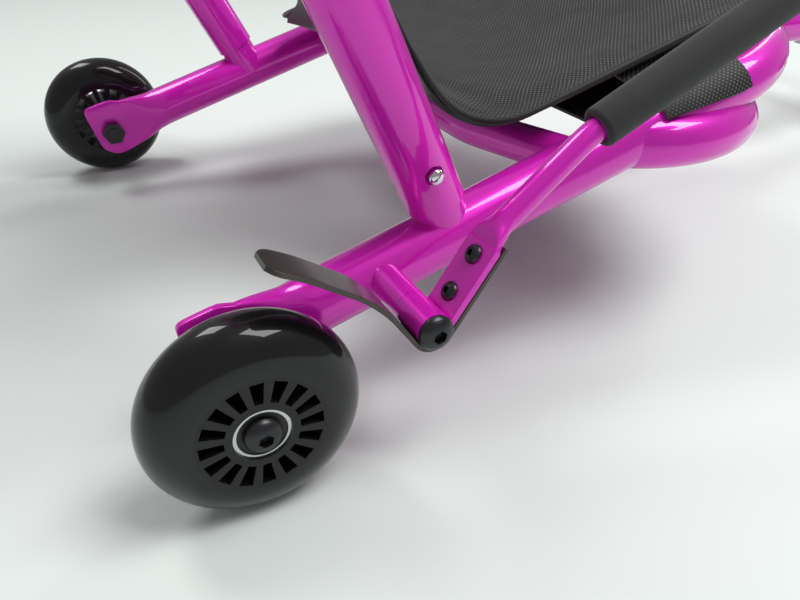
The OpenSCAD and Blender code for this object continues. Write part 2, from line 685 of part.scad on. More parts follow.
// Sleeve that keeps the inner rings of a wheel's bearings apart.
module bearing_sleeve(w) color(steel) rotate([90, 0, 0]) difference() {
    gap = w - 2 * seat_in - 2 * bearing_w;
    cylinder(d = axle_d + 4, h = gap, center = true);
    cylinder(d = axle_d + 2 * run_gap, h = gap + 2, center = true);
}

module at_right_wheel() place() translate([0, -wheel_y, rear_z]) children();
module at_left_wheel() place() translate([0, wheel_y, rear_z]) children();

module rear_tyre_right() at_right_wheel() tyre(rear_wheel_d, rear_wheel_w, rear_hub_d);
module rear_tyre_left() at_left_wheel() tyre(rear_wheel_d, rear_wheel_w, rear_hub_d);
module rear_hub_right() at_right_wheel() hub(rear_wheel_w, rear_hub_d);
module rear_hub_left() at_left_wheel() hub(rear_wheel_w, rear_hub_d);
module rear_bearings_right() at_right_wheel() bearings(rear_wheel_w);
module rear_bearings_left() at_left_wheel() bearings(rear_wheel_w);
module rear_bearing_sleeve_right() at_right_wheel() bearing_sleeve(rear_wheel_w);
module rear_bearing_sleeve_left() at_left_wheel() bearing_sleeve(rear_wheel_w);

/* Hand brake */

hub_r = brake_hub_d / 2;
bush_wall = 1.2;
spring_d = 1.4;
spring_turns = 4;
spring_pitch = 1.9;
spring_well = spring_turns * spring_pitch + spring_d + 0.8;

module at_brake() place() translate([brake_x, -boss_end, brake_z]) children();

module brake_pivot_bolt() color(black) at_brake() translate([0, -brake_w - seat_gap, 0])
    rotate([90, 0, 0]) screw(axle_d, brake_w + seat_gap + boss_l - arm_r - 2, head_d, head_h, 6);

module brake_hub() color(paint) at_brake() translate([0, -brake_w, 0]) difference() {
    along_y(brake_hub_d, brake_w - seat_gap);
    translate([0, -1, 0]) along_y(axle_d + 2 * bush_wall, brake_w + 2);
    translate([0, brake_w - seat_gap - spring_well, 0]) along_y(brake_hub_d - 2, spring_well + 1);
}

module brake_bush() color(black) at_brake() translate([0, -brake_w, 0]) difference() {
    along_y(axle_d + 2 * bush_wall, brake_w - seat_gap - spring_well);
    translate([0, -1, 0]) along_y(axle_d + 2 * run_gap, brake_w + 2);
}

// Coil of the return spring, one tube along a helix round the pivot bolt.
spring_r = (axle_d / 2 + 2 * fit_gap + hub_r - 1) / 2;
spring_steps = 24;
module brake_spring() color(steel) at_brake() translate([0, -spring_d / 2 - fit_gap, 0]) {
    n = spring_turns * spring_steps;
    sides = 6;
    wire = min(spring_d / 2, (hub_r - 1 - axle_d / 2) / 2 - 0.15);
    points = [for (i = [0 : n]) let (a = i * 360 / spring_steps) for (s = [0 : sides - 1])
        let (b = s * 360 / sides, r = spring_r + wire * cos(b))
            [r * cos(a), -i * spring_pitch / spring_steps + wire * sin(b), r * sin(a)]];
    faces = [for (i = [0 : n - 1]) for (s = [0 : sides - 1])
        let (a = i * sides + s, b = i * sides + (s + 1) % sides)
            each [[a, b, b + sides], [a, b + sides, a + sides]],
        [for (s = [sides - 1 : -1 : 0]) s], [for (s = [0 : sides - 1]) n * sides + s]];
    echo(spring_gap = spring_pitch - 2 * wire);
    polyhedron(points, faces);
}

plate_low = hub_r;
plate_from = 3;
plate_mid = hub_r - plate_t / 2;
function on_plate(along, below) = [along * cos(plate_slope) + below * sin(plate_slope),
    along * sin(plate_slope) - below * cos(plate_slope)];
plate_end = on_plate(plate_l, plate_mid);
lever_from = plate_end + 12 * [cos(lever_slope), sin(lever_slope)];
lever_straight = 45.8;
lever_wall = 1.5;
lever_bend_r = 50;
grip_start = -2;
bend_at = lever_from + lever_straight * [cos(lever_slope), sin(lever_slope)];
bend_c = bend_at + lever_bend_r * [sin(lever_slope), -cos(lever_slope)];
handle_at = bend_c + lever_bend_r * [-sin(handle_slope), cos(handle_slope)];
handle_l = brake_grip_l - 12;
band_screw_at = [17, 37];
neck_in = 2.4;

module on_brake_mid() at_brake() translate([0, -(brake_w + seat_gap) / 2, 0]) children();

// Lever: a tube whose lower end is flattened into a plate that is welded on to the hub.
module brake_lever() color(paint) on_brake_mid() difference() {
    flat_w = brake_w - seat_gap;
    union() {
        rotate([0, -plate_slope, 0]) translate([plate_from, -flat_w / 2, -plate_low])
            cube([plate_l - plate_from, flat_w, plate_t]);
        hull() {
            translate([plate_end.x, 0, plate_end.y]) rotate([0, -plate_slope, 0])
                translate([-0.5, neck_in - flat_w / 2, inset - plate_t / 2])
                    cube([0.6, flat_w - 2 * neck_in, plate_t - 2 * inset]);
            translate([lever_from.x, 0, lever_from.y]) rotate([0, 90 - lever_slope, 0])
                cylinder(d = lever_d - 4 * inset, h = 1.5, $fn = 32);
        }
        translate([bend_c.x, 0, bend_c.y]) rotate([90, 0, 0]) rotate([0, 0, 90 + handle_slope]) {
            turn = lever_slope - handle_slope;
            lapped_bend(lever_bend_r, turn, lever_d, lever_wall);
            translate([lever_bend_r, lap, 0]) rotate([90, 0, 0]) straight(lever_d, lever_wall, handle_l + lap);
            rotate([0, 0, turn]) translate([lever_bend_r, -lap, 0]) rotate([-90, 0, 0])
                straight(lever_d, lever_wall, lever_straight + 2 * lap);
        }
    }
    for (a = band_screw_at) rotate([0, -plate_slope, 0]) translate([a, 0, -2 * hub_r])
        cylinder(d = band_screw_d, h = 2 * hub_r);
    translate([0, -brake_w, 0]) along_y(brake_hub_d, 2 * brake_w);
}

module brake_grip() color(black) on_brake_mid() translate([handle_at.x, 0, handle_at.y])
    rotate([0, 90 - handle_slope, 0]) difference() {
        end = 4;
        union() {
            translate([0, 0, grip_start]) cylinder(d = brake_grip_d, h = brake_grip_l - grip_start - end);
            translate([0, 0, brake_grip_l - end]) cylinder(d1 = brake_grip_d, d2 = brake_grip_d - 6, h = end);
        }
        translate([0, 0, -20]) cylinder(d = lever_d, h = handle_l + 20);
    }

// Brake band: a strip that runs under the plate, round the hub and back over the wheel as a flap.
band_r = hub_r + seat_gap + band_t / 2;
band_short = 1.2;
wrap_to = 214;
flap_l = 17;
flap_r = 75;
flap_turn = 22;
flap_end = 30;
tip_turn = 14;
tip_l = 12;
tip_r = 7;
// Points and headings along the middle of the strip, from the plate's end to the flap's tip.
function turn_points(c, r, from, to, n) = [for (i = [1 : n]) let (a = mix(from, to, i / n))
    [c + r * [cos(a), sin(a)], a - 90]];
flap_heading = wrap_to - 90;
wrap = turn_points([0, 0], band_r, 270 + plate_slope, wrap_to, 22);
flap_from = wrap[len(wrap) - 1][0] + flap_l * [cos(flap_heading), sin(flap_heading)];
flap_c = flap_from + flap_r * [-sin(flap_heading), cos(flap_heading)];
flap = [for (i = [0 : 10]) let (a = flap_heading + flap_turn * i / 10)
    [flap_c + flap_r * [sin(a), -cos(a)], a]];
run_heading = flap_heading + flap_turn;
tip_from = flap[10][0] + flap_end * [cos(run_heading), sin(run_heading)];
tip_heading = run_heading - tip_turn;
curl = [for (i = [0 : 5]) let (a = run_heading - tip_turn * i / 5, r = tip_l * 180 / tip_turn / PI)
    [tip_from + r * [sin(run_heading) - sin(a), cos(a) - cos(run_heading)], a]];
tip = curl[5][0];
band_path = concat([[on_plate(plate_l - band_short, band_r), plate_slope + 180],
    [on_plate(0, band_r), plate_slope + 180]],
    wrap, flap, curl);
function band_side(d) = [for (p = band_path) p[0] + d * [-sin(p[1]), cos(p[1])]];

module brake_band() color("#303033") on_brake_mid() difference() {
    w = brake_w - seat_gap;
    side = band_side(-band_t / 2);
    translate([0, w / 2, 0]) rotate([90, 0, 0]) linear_extrude(w)
        polygon(concat(band_side(band_t / 2), [for (i = [len(side) - 1 : -1 : 0]) side[i]]));
    for (a = band_screw_at) rotate([0, -plate_slope, 0]) translate([a, 0, -3 * hub_r])
        cylinder(d = band_screw_d, h = 3 * hub_r);
    translate([tip.x, 0, tip.y]) rotate([0, -tip_heading, 0]) for (m = [0, 1]) mirror([0, m, 0])
        translate([-tip_r, w / 2 - tip_r, -band_t]) difference() {
            cube([tip_r + 1, tip_r + 1, 2 * band_t]);
            cylinder(r = tip_r, h = 2 * band_t);
        }
}

module band_screws() color(black) on_brake_mid() for (a = band_screw_at)
    rotate([0, -plate_slope, 0]) translate([a, 0, -plate_low + plate_t])
        screw(band_screw_d, plate_t + band_t + seat_gap + 1, band_screw_d * 1.9, 2.8, 3);

/* Front section */

ear_z = head_tube_l / 2 + flange_t + seat_gap;
web_h = 2 * (ear_z + ear_t);

module steering_yoke() color(paint) on_bow() difference() {
    union() {
        for (s = [-1, 1]) translate([0, 0, s > 0 ? ear_z : -ear_z - ear_t]) {
            translate([head_x, 0, 0]) cylinder(r = ear_r, h = ear_t);
            translate([head_x, -ear_r, 0]) cube([outer_x - head_x, 2 * ear_r, ear_t]);
        }
        translate([web_x, -ear_r, -web_h / 2]) cube([web_t, 2 * ear_r, web_h]);
    }
    translate([head_x, 0, -head_tube_l]) cylinder(d = king_d, h = 2 * head_tube_l);
}

module king_bolt() color(black) on_bow() translate([head_x, 0, web_h / 2])
    screw(king_d, web_h + king_d, king_d * 1.75, king_d * 0.55, 8);

module king_nut() color(steel) on_bow() translate([head_x, 0, -web_h / 2 - king_d * 0.9])
    hex_nut(king_d * 1.55, king_d * 0.9, king_d);

slit_w = 3;
slit_l = 38;
liner_l = 60;
outer_end = outer_x + outer_l;
outer_in = outer_d - 2 * outer_wall;

module outer_tube() color(paint) on_bow() difference() {
    translate([outer_x, 0, 0]) along_x(outer_d, outer_l);
    translate([outer_x - 1, 0, 0]) along_x(outer_in, outer_l + 2);
    translate([outer_end - slit_l, -slit_w / 2, 0]) cube([slit_l + 1, slit_w, outer_d]);
}

module tube_liner() color(black) on_bow() difference() {
    union() {
        translate([outer_end - liner_l, 0, 0]) along_x(outer_in, liner_l);
        translate([outer_end, 0, 0]) along_x(outer_d, lip_t);
    }
    translate([outer_end - liner_l - 1, 0, 0]) along_x(inner_d + 2 * run_gap, liner_l + lip_t + 2);
    translate([outer_end - slit_l, -slit_w / 2, 0]) cube([slit_l + lip_t + 1, slit_w, outer_d]);
}

collar_w = 18;
collar_t = 4.5;
collar_x = outer_end - collar_w - 3;
ear_len = 15;
ear_w = 7;
skewer_d = 5;
skewer_z = outer_d / 2 + collar_t + 5;
skewer_x = collar_x + collar_w / 2;
ear_face = slit_w / 2 + ear_w;

module clamp_collar() color(steel) on_bow() difference() {
    union() {
        translate([collar_x, 0, 0]) along_x(outer_d + 2 * collar_t, collar_w);
        translate([collar_x, -ear_face, 0]) cube([collar_w, 2 * ear_face, outer_d / 2 + ear_len]);
    }
    translate([collar_x - 1, 0, 0]) along_x(outer_d, collar_w + 2);
    translate([collar_x - 1, -slit_w / 2, 0]) cube([collar_w + 2, slit_w, outer_d + ear_len]);
    translate([skewer_x, -20, skewer_z]) along_y(skewer_d, 40);
}

barrel_d = 8;
barrel_l = 14;
cam_r = 7;
washer_t = 2;
cam_y = ear_face + washer_t + cam_r + seat_gap;
slot_x = 6;

clamp_nut_h = 6;
washer_d = 13;
module clamp_skewer() color(steel) on_bow() translate([skewer_x, 0, skewer_z]) union() {
    translate([0, -cam_y, 0]) along_y(skewer_d, cam_y + ear_face + clamp_nut_h + 1);
    translate([-barrel_l / 2, -cam_y, 0]) along_x(barrel_d, barrel_l);
}

// Adjusting nut on one ear, and the washer that the cam presses on.
module clamp_nut() color(steel) on_bow() translate([skewer_x, 0, skewer_z]) {
    translate([0, -ear_face - washer_t, 0]) rotate([-90, 0, 0])
        straight(washer_d, (washer_d - skewer_d) / 2, washer_t);
    translate([0, ear_face, 0]) rotate([-90, 0, 0]) straight(washer_d, (washer_d - skewer_d) / 2, clamp_nut_h);
}

lever_t = 5;
lever_drop = 46;
module clamp_lever() color(black) on_bow() translate([skewer_x, -cam_y, skewer_z]) difference() {
    out = -cam_r - lever_t;
    union() {
        translate([-barrel_l / 2, 0, 0]) along_x(2 * cam_r, barrel_l);
        translate([-barrel_l / 2, out, -cam_r]) cube([barrel_l, -out, cam_r]);
        translate([-barrel_l / 2, out, -lever_drop]) cube([barrel_l, lever_t, lever_drop]);
        translate([0, out, -lever_drop]) rotate([-90, 0, 0]) cylinder(d = barrel_l, h = lever_t);
    }
    translate([-barrel_l, 0, 0]) along_x(barrel_d + 2 * run_gap, 2 * barrel_l);
    translate([-slot_x / 2, -2, -cam_r - 3]) cube([slot_x, 2 * cam_r, 2 * cam_r + 6]);
    translate([-slot_x / 2, -cam_r - 1, -2]) cube([slot_x, 2 * cam_r, cam_r + 6]);
}

/* Sliding front part */

crown_h = 34;
inner_x = foot_x - foot_bar_d / 2 - inner_show - lip_t - inner_grip;
module inner_tube() color("#2a2a2c") on_bow() difference() {
    translate([inner_x, 0, 0]) along_x(inner_d, foot_x - crown_w / 2 - inner_x);
    translate([inner_x - 1, 0, 0]) along_x(inner_d - 2 * inner_wall, foot_x - inner_x + 2);
}

blade_y = front_wheel_w / 2 + fork_gap;
blade_h = 26;
crown_y = blade_y + blade_t;
fork_drop = front_z - bow_z;

module fork() color(paint) on_bow() difference() {
    union() {
        translate([foot_x - crown_w / 2, -crown_y, -crown_h / 2]) cube([crown_w, 2 * crown_y, crown_h]);
        for (m = [0, 1]) mirror([0, m, 0]) translate([0, crown_y, 0]) rotate([90, 0, 0]) linear_extrude(blade_t)
            polygon(blade_outline());
    }
    translate([foot_x, -crown_y - 1, 0]) along_y(foot_bar_d, 2 * crown_y + 2);
    translate([front_x, -crown_y - 1, fork_drop]) along_y(axle_d, 2 * crown_y + 2);
}

// Side view of a fork blade: a tapering arm with a round end about the axle.
function blade_outline() = let (end = [front_x, fork_drop], slope = atan2(-fork_drop, fork_reach))
    concat([[foot_x, -crown_h / 2], [foot_x, crown_h / 2], [foot_x + crown_w / 2, crown_h / 2]],
        arc_points(end, blade_h / 2, 90 - slope, -90 - slope));

module foot_bar() color(paint) on_bow() translate([foot_x, 0, 0]) rotate([-90, 0, 0])
    translate([0, 0, -foot_bar_l / 2 + cap_t]) straight(foot_bar_d, 2, foot_bar_l - 2 * cap_t);

cap_t = 5;
module foot_grips() color(black) on_bow() for (m = [0, 1]) mirror([0, m, 0])
    translate([foot_x, -foot_bar_l / 2 + cap_t, 0]) rotate([-90, 0, 0]) difference() {
        union() {
            translate([0, 0, 3]) cylinder(d = foot_grip_d, h = foot_grip_l - 6);
            cylinder(d1 = foot_grip_d - 6, d2 = foot_grip_d, h = 3);
            translate([0, 0, foot_grip_l - 3]) cylinder(d1 = foot_grip_d, d2 = foot_grip_d - 6, h = 3);
        }
        translate([0, 0, -1]) cylinder(d = foot_bar_d, h = foot_grip_l + 2);
    }

module foot_bar_caps() color(black) on_bow() for (m = [0, 1]) mirror([0, m, 0])
    translate([foot_x, -foot_bar_l / 2, 0]) rotate([-90, 0, 0]) union() {
        cylinder(d1 = foot_bar_d - 2, d2 = foot_bar_d + 3, h = cap_t - 2);
        translate([0, 0, cap_t - 2]) cylinder(d = foot_bar_d + 3, h = 2);
        translate([0, 0, cap_t]) cylinder(d = foot_bar_d - 4, h = 12);
    }

module at_front_wheel() on_bow() translate([front_x, 0, fork_drop]) children();
front_face = front_wheel_w / 2 - seat_in;

module front_axle_bolt() color(black) at_front_wheel() translate([0, -crown_y, 0]) rotate([90, 0, 0])
    screw(axle_d, 2 * crown_y + nut_h + 1, head_d, head_h, 6);

module front_axle_spacers() color(steel) at_front_wheel() for (m = [0, 1]) mirror([0, m, 0])
    translate([0, front_face + seat_gap, 0]) rotate([-90, 0, 0])
        straight(axle_d + 4, 2, blade_y - front_face - seat_gap);

module front_axle_nut() color(steel) at_front_wheel() translate([0, crown_y, 0]) rotate([-90, 0, 0])
    hex_nut(16, nut_h, axle_d);

module front_tyre() at_front_wheel() tyre(front_wheel_d, front_wheel_w, front_hub_d);
module front_hub() at_front_wheel() hub(front_wheel_w, front_hub_d);
module front_bearings() at_front_wheel() bearings(front_wheel_w);
module front_bearing_sleeve() at_front_wheel() bearing_sleeve(front_wheel_w);

arm_right();
arm_left();
seat_rail();
cross_tube();
front_bow();
head_tube();
head_bushes();
backrest_stubs();
backrest_frame();
seat_pan();
seat_shell();
seat_pad();
seat_piping();
arm_cover_right();
arm_cover_left();
seat_spacers();
seat_screws();
rear_axle_bolts();
rear_axle_nuts();
rear_axle_spacers();
brake_boss();
brake_pivot_bolt();
snap_button_right();
snap_button_left();
rear_tyre_right();
rear_hub_right();
rear_bearings_right();
rear_bearing_sleeve_right();
rear_tyre_left();
rear_hub_left();
rear_bearings_left();
rear_bearing_sleeve_left();
brake_hub();
brake_bush();
brake_spring();
brake_lever();
brake_grip();
brake_band();
band_screws();
steering_yoke();
king_bolt();
king_nut();
outer_tube();
tube_liner();
clamp_collar();
clamp_skewer();
clamp_nut();
clamp_lever();
inner_tube();
fork();
foot_bar();
foot_grips();
foot_bar_caps();
front_axle_bolt();
front_axle_nut();
front_axle_spacers();
front_tyre();
front_hub();
front_bearings();
front_bearing_sleeve();
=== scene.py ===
import json
import math
import bpy
import numpy as np
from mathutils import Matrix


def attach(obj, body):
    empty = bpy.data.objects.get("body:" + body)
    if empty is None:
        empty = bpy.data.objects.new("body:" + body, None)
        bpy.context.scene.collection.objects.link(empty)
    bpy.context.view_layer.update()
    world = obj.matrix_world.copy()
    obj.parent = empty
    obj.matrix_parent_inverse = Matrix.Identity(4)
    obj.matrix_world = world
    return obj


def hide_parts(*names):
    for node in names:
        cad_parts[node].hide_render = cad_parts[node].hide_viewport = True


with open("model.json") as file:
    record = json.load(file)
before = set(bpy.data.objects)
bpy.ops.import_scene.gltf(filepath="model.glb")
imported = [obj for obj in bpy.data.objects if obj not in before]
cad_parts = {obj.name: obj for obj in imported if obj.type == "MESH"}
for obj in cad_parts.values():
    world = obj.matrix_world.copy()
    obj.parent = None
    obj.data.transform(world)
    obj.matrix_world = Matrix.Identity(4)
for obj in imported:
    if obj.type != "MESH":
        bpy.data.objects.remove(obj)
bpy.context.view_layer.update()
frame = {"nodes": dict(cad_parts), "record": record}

nodes = frame["nodes"]
scene = bpy.context.scene
print("frame loaded, nodes:", len(nodes))

# Sizes that several pieces share, in millimetres and degrees, as in the CAD source
chassis = {"middle": 430.45, "armLift": 51.7, "armPitch": 15.9, "armSide": 180.0, "armTube": 31.8,
           "bowLift": 118.066, "bowTube": 31.0}
axles = {"rearLift": 50.0, "rearSide": 227.0, "frontAlong": 407.95, "frontLift": 72.5}


# A point of the arms' frame (along, across, up) turned up by the pitch about Y, lifted and moved back
# by half the scooter's length, then millimetres to metres.
def fromArms(p):
    c, s = math.cos(math.radians(chassis["armPitch"])), math.sin(math.radians(chassis["armPitch"]))
    along, across, up = p[..., 0], p[..., 1], p[..., 2]
    return np.stack([along * c - up * s - chassis["middle"], across,
                     along * s + up * c + chassis["armLift"]], -1) / 1000


# Smooth steps from 0 to 1: 3t^2 - 2t^3 between the two ends, flat outside them.
def ease(x, start, end):
    t = np.clip((x - start) / (end - start), 0, 1)
    return t * t * (3 - 2 * t)


# Lengths divided out, so that each vector is one long.
def unit(v):
    return v / np.maximum(np.linalg.norm(v, axis=-1, keepdims=True), 1e-9)


# Catmull-Rom curve through rows of values: each span is the cubic whose end slopes are half the
# difference of the rows on either side, sampled at the row numbers in u.
def throughRows(table, u):
    table = np.asarray(table, float)
    last = len(table) - 1
    i = np.clip(np.floor(u).astype(int), 0, last - 1)
    t = (u - i)[:, None]
    a, b, c, d = (table[np.clip(k, 0, last)] for k in (i - 1, i, i + 1, i + 2))
    return 0.5 * (2 * b + (c - a) * t + (2 * a - 5 * b + 4 * c - d) * t ** 2
                  + (3 * b - a - 3 * c + d) * t ** 3)


# Closed outline of a superellipse, |x/a|^n + |y/b|^n = 1: n = 2 is an ellipse, a high n a rounded
# rectangle. a, b and n may be columns, one for each ring.
def superellipse(a, b, n, sides):
    t = (np.arange(sides) + 0.5) / sides * 2 * math.pi
    power = 2 / np.asarray(n, float)
    return (a * np.sign(np.cos(t)) * np.abs(np.cos(t)) ** power,
            b * np.sign(np.sin(t)) * np.abs(np.sin(t)) ** power)


# A grid of points (rows, columns, 3) in metres becomes quads between neighbours, the last row or
# column joined to the first where it is closed, and each open end filled by one face. The signed
# volume of the closed shape decides which way the faces turn. uv is (rows + 1, columns + 1, 2) in
# metres along the surface.
def gridPiece(name, points, closeRows=False, closeColumns=False, fillEnds=False, uv=None, sharp=35):
    rows, columns = points.shape[:2]
    index = np.arange(rows * columns).reshape(rows, columns)
    lastRow, lastColumn = rows if closeRows else rows - 1, columns if closeColumns else columns - 1
    i, j = np.meshgrid(np.arange(lastRow), np.arange(lastColumn), indexing="ij")
    i, j = i.ravel(), j.ravel()
    nextI, nextJ = (i + 1) % rows, (j + 1) % columns
    quads = np.stack([index[i, j], index[i, nextJ], index[nextI, nextJ], index[nextI, j]], -1)
    flat = points.reshape(-1, 3)
    corners = flat[quads] - flat.mean(0)
    volume = (np.einsum("ij,ij->i", corners[:, 0], np.cross(corners[:, 1], corners[:, 2])).sum()
              + np.einsum("ij,ij->i", corners[:, 0], np.cross(corners[:, 2], corners[:, 3])).sum())
    turned = volume < 0
    faces = (quads[:, ::-1] if turned else quads).tolist()
    if fillEnds:
        first, last = index[0].tolist(), index[-1].tolist()
        faces += [first if turned else first[::-1], last[::-1] if turned else last]
    mesh = bpy.data.meshes.new(name)
    mesh.from_pydata(flat.tolist(), [], faces)
    if uv is not None:
        loops = np.stack([uv[i, j], uv[i, j + 1], uv[i + 1, j + 1], uv[i + 1, j]], 1)
        loops = (loops[:, ::-1] if turned else loops).reshape(-1, 2)
        spare = len(mesh.loops) - len(loops)
        layer = mesh.uv_layers.new(name="surface")
        layer.data.foreach_set("uv", np.concatenate([loops, np.zeros((spare, 2))]).ravel())
    mesh.polygons.foreach_set("use_smooth", np.ones(len(faces), bool))
    mesh.set_sharp_from_angle(angle=math.radians(sharp))
    mesh.update()
    piece = bpy.data.objects.new(name, mesh)
    scene.collection.objects.link(piece)
    return piece


# Surface of revolution: a closed outline of (distance from the axis, place on the axis) in millimetres
# is carried round the axis that starts at a point and runs in a direction.
def turnedPiece(name, outline, start, axis, steps, sharp):
    axis = unit(np.asarray(axis, float))
    side = unit(np.cross(axis, [0.3, 0.1, 1.0]))
    other = np.cross(axis, side)
    outline = np.asarray(outline, float)
    angle = np.arange(steps) / steps * 2 * math.pi
    ring = np.cos(angle)[:, None] * side + np.sin(angle)[:, None] * other
    points = (np.asarray(start, float) + outline[None, :, 1, None] * axis
              + outline[None, :, 0, None] * ring[:, None, :]) / 1000
    loop = np.concatenate([outline, outline[:1]])
    across = np.concatenate([[0], np.cumsum(np.linalg.norm(np.diff(loop, axis=0), axis=1))])
    turn = np.linspace(0, 2 * math.pi * outline[:, 0].max(), steps + 1)
    uv = np.stack(np.meshgrid(turn, across, indexing="ij"), -1) / 1000
    return gridPiece(name, points, closeRows=True, closeColumns=True, uv=uv, sharp=sharp)


# Rounded corner in an outline: points on a quarter of an ellipse from one point to the other, with
# the corner on the outside.
def roundCorner(start, corner, end, steps):
    t = np.linspace(0, math.pi / 2, steps)[:, None]
    start, corner, end = (np.asarray(p, float) for p in (start, corner, end))
    return corner + (start - corner) * (1 - np.sin(t)) + (end - corner) * (1 - np.cos(t))


print("helpers ready")

# Materials


# sRGB hex to linear colour: the lower part is divided by 12.92, the rest is a power of 2.4.
def colour(code):
    c = np.array([int(code[k:k + 2], 16) for k in (1, 3, 5)]) / 255
    lin = np.where(c <= 0.04045, c / 12.92, ((c + 0.055) / 1.055) ** 2.4)
    return (float(lin[0]), float(lin[1]), float(lin[2]), 1.0)


# Adds one node, sets its settings, and gives each input a plain value or a link from a socket.
def addNode(tree, kind, inputs=None, **settings):
    node = tree.nodes.new("ShaderNode" + kind)
    for key, value in settings.items():
        setattr(node, key, value)
    for key, value in (inputs or {}).items():
        if isinstance(value, bpy.types.NodeSocket):
            tree.links.new(value, node.inputs[key])
        else:
            node.inputs[key].default_value = value
    return node


# Starts a material with its shader and returns the tree, the shader and the object's coordinates.
def newMaterial(name, **shader):
    material = bpy.data.materials.new(name)
    material.use_nodes = True
    tree = material.node_tree
    tree.nodes.clear()
    surface = addNode(tree, "BsdfPrincipled", {key.replace("_", " "): value for key, value in shader.items()})
    addNode(tree, "OutputMaterial", {"Surface": surface.outputs[0]})
    place = addNode(tree, "TexCoord").outputs["Object"]
    return material, tree, surface, place


# Mixes two colours by a factor socket and links the result to the shader's base colour.
def tint(tree, surface, factor, low, high):
    blend = addNode(tree, "Mix", {0: factor, 6: colour(low), 7: colour(high)}, data_type="RGBA")
    tree.links.new(blend.outputs[2], surface.inputs["Base Color"])


# Maps a noise socket, which keeps mostly between 0.3 and 0.7, on to a roughness range.
def roughen(tree, surface, factor, low, high):
    spread = addNode(tree, "MapRange", {"Value": factor, "From Min": 0.3, "From Max": 0.7, "To Min": low,
                                        "To Max": high})
    tree.links.new(spread.outputs[0], surface.inputs["Roughness"])


# Turns a height socket, in metres of relief times strength, into the shader's normal.
def relief(tree, surface, height, distance, strength=1.0, coat=False):
    bump = addNode(tree, "Bump", {"Height": height, "Distance": distance, "Strength": strength})
    tree.links.new(bump.outputs[0], surface.inputs["Normal"])
    if coat:
        tree.links.new(bump.outputs[0], surface.inputs["Coat Normal"])


# Magenta base coat under glossy clear lacquer on steel tube: deep colour with sharp, nearly white
# streaks, and a faint orange-peel wave about 9 mm long from spraying.
def sprayedMagentaLacquer():
    material, tree, surface, place = newMaterial("sprayedMagentaLacquer", Roughness=0.32, Metallic=0.3,
        Specular_IOR_Level=0.15, Coat_Weight=1.0, Coat_Roughness=0.02, Coat_IOR=1.5)
    cloud = addNode(tree, "TexNoise", {"Vector": place, "Scale": 1 / 0.07, "Detail": 2.0}).outputs[0]
    tint(tree, surface, cloud, "#D81BB9", "#E020C2")
    peel = addNode(tree, "TexNoise", {"Vector": place, "Scale": 1 / 0.009, "Detail": 1.0}).outputs[0]
    relief(tree, surface, peel, 0.00005, 0.35, coat=True)
    return material


# Black powder coat on formed steel: satin, with a fine baked grain about 0.8 mm across, drawn a
# little coarser than the real 0.3 mm so that it shows.
def bakedBlackPowderCoat():
    material, tree, surface, place = newMaterial("bakedBlackPowderCoat", Metallic=0.6, IOR=1.5)
    grain = addNode(tree, "TexNoise", {"Vector": place, "Scale": 1 / 0.0011, "Detail": 3.0}).outputs[0]
    patch = addNode(tree, "TexNoise", {"Vector": place, "Scale": 1 / 0.03, "Detail": 2.0}).outputs[0]
    tint(tree, surface, patch, "#474341", "#514C49")
    roughen(tree, surface, patch, 0.26, 0.34)
    relief(tree, surface, grain, 0.00006, 0.5)
    return material


# Steel fastener with black oxide finish: dark, slightly glossy metal with uneven oil sheen.
def oiledBlackOxideSteel():
    material, tree, surface, place = newMaterial("oiledBlackOxideSteel", Metallic=0.85)
    patch = addNode(tree, "TexNoise", {"Vector": place, "Scale": 1 / 0.006, "Detail": 2.0}).outputs[0]
    tint(tree, surface, patch, "#37373A", "#424245")
    roughen(tree, surface, patch, 0.28, 0.36)
    return material


# Zinc-plated steel: bright bluish grey, with blurred crystal patches about 5 mm across.
def platedZincSteel():
    material, tree, surface, place = newMaterial("platedZincSteel", Metallic=1.0)
    patch = addNode(tree, "TexNoise", {"Vector": place, "Scale": 1 / 0.005, "Detail": 3.0}).outputs[0]
    tint(tree, surface, patch, "#A9ACB2", "#C3C5C9")
    roughen(tree, surface, patch, 0.26, 0.4)
    return material


# Ball bearing: ground steel races with a black rubber seal between them. The seal is where the
# distance from the nearer wheel's axis is within 2.1 mm of 9.1 mm, with a step 0.2 mm wide each side.
def groundBearingSteel():
    material, tree, surface, place = newMaterial("groundBearingSteel")
    split = addNode(tree, "SeparateXYZ", {0: place})
    seal = {"middle": 0.0091, "half": 0.0021, "step": 0.0002}
    point = addNode(tree, "CombineXYZ", {0: split.outputs[0], 1: split.outputs[2]}).outputs[0]
    spokes = []
    for along, up in ((-chassis["middle"], axles["rearLift"]), (axles["frontAlong"], axles["frontLift"])):
        centre = (along / 1000, up / 1000, 0.0)
        reach = addNode(tree, "VectorMath", {0: point, 1: centre}, operation="DISTANCE")
        spokes.append(reach.outputs["Value"])
    nearest = addNode(tree, "Math", {0: spokes[0], 1: spokes[1]}, operation="MINIMUM").outputs[0]
    away = addNode(tree, "Math", {0: nearest, 1: seal["middle"]}, operation="SUBTRACT").outputs[0]
    away = addNode(tree, "Math", {0: away}, operation="ABSOLUTE").outputs[0]
    steel = addNode(tree, "MapRange", {"Value": away, "From Min": seal["half"],
                                       "From Max": seal["half"] + seal["step"]}).outputs[0]
    tint(tree, surface, steel, "#141415", "#C9CACC")
    tree.links.new(steel, surface.inputs["Metallic"])
    shine = addNode(tree, "MapRange", {"Value": steel, "To Min": 0.5, "To Max": 0.18}).outputs[0]
    tree.links.new(shine, surface.inputs["Roughness"])
    return material


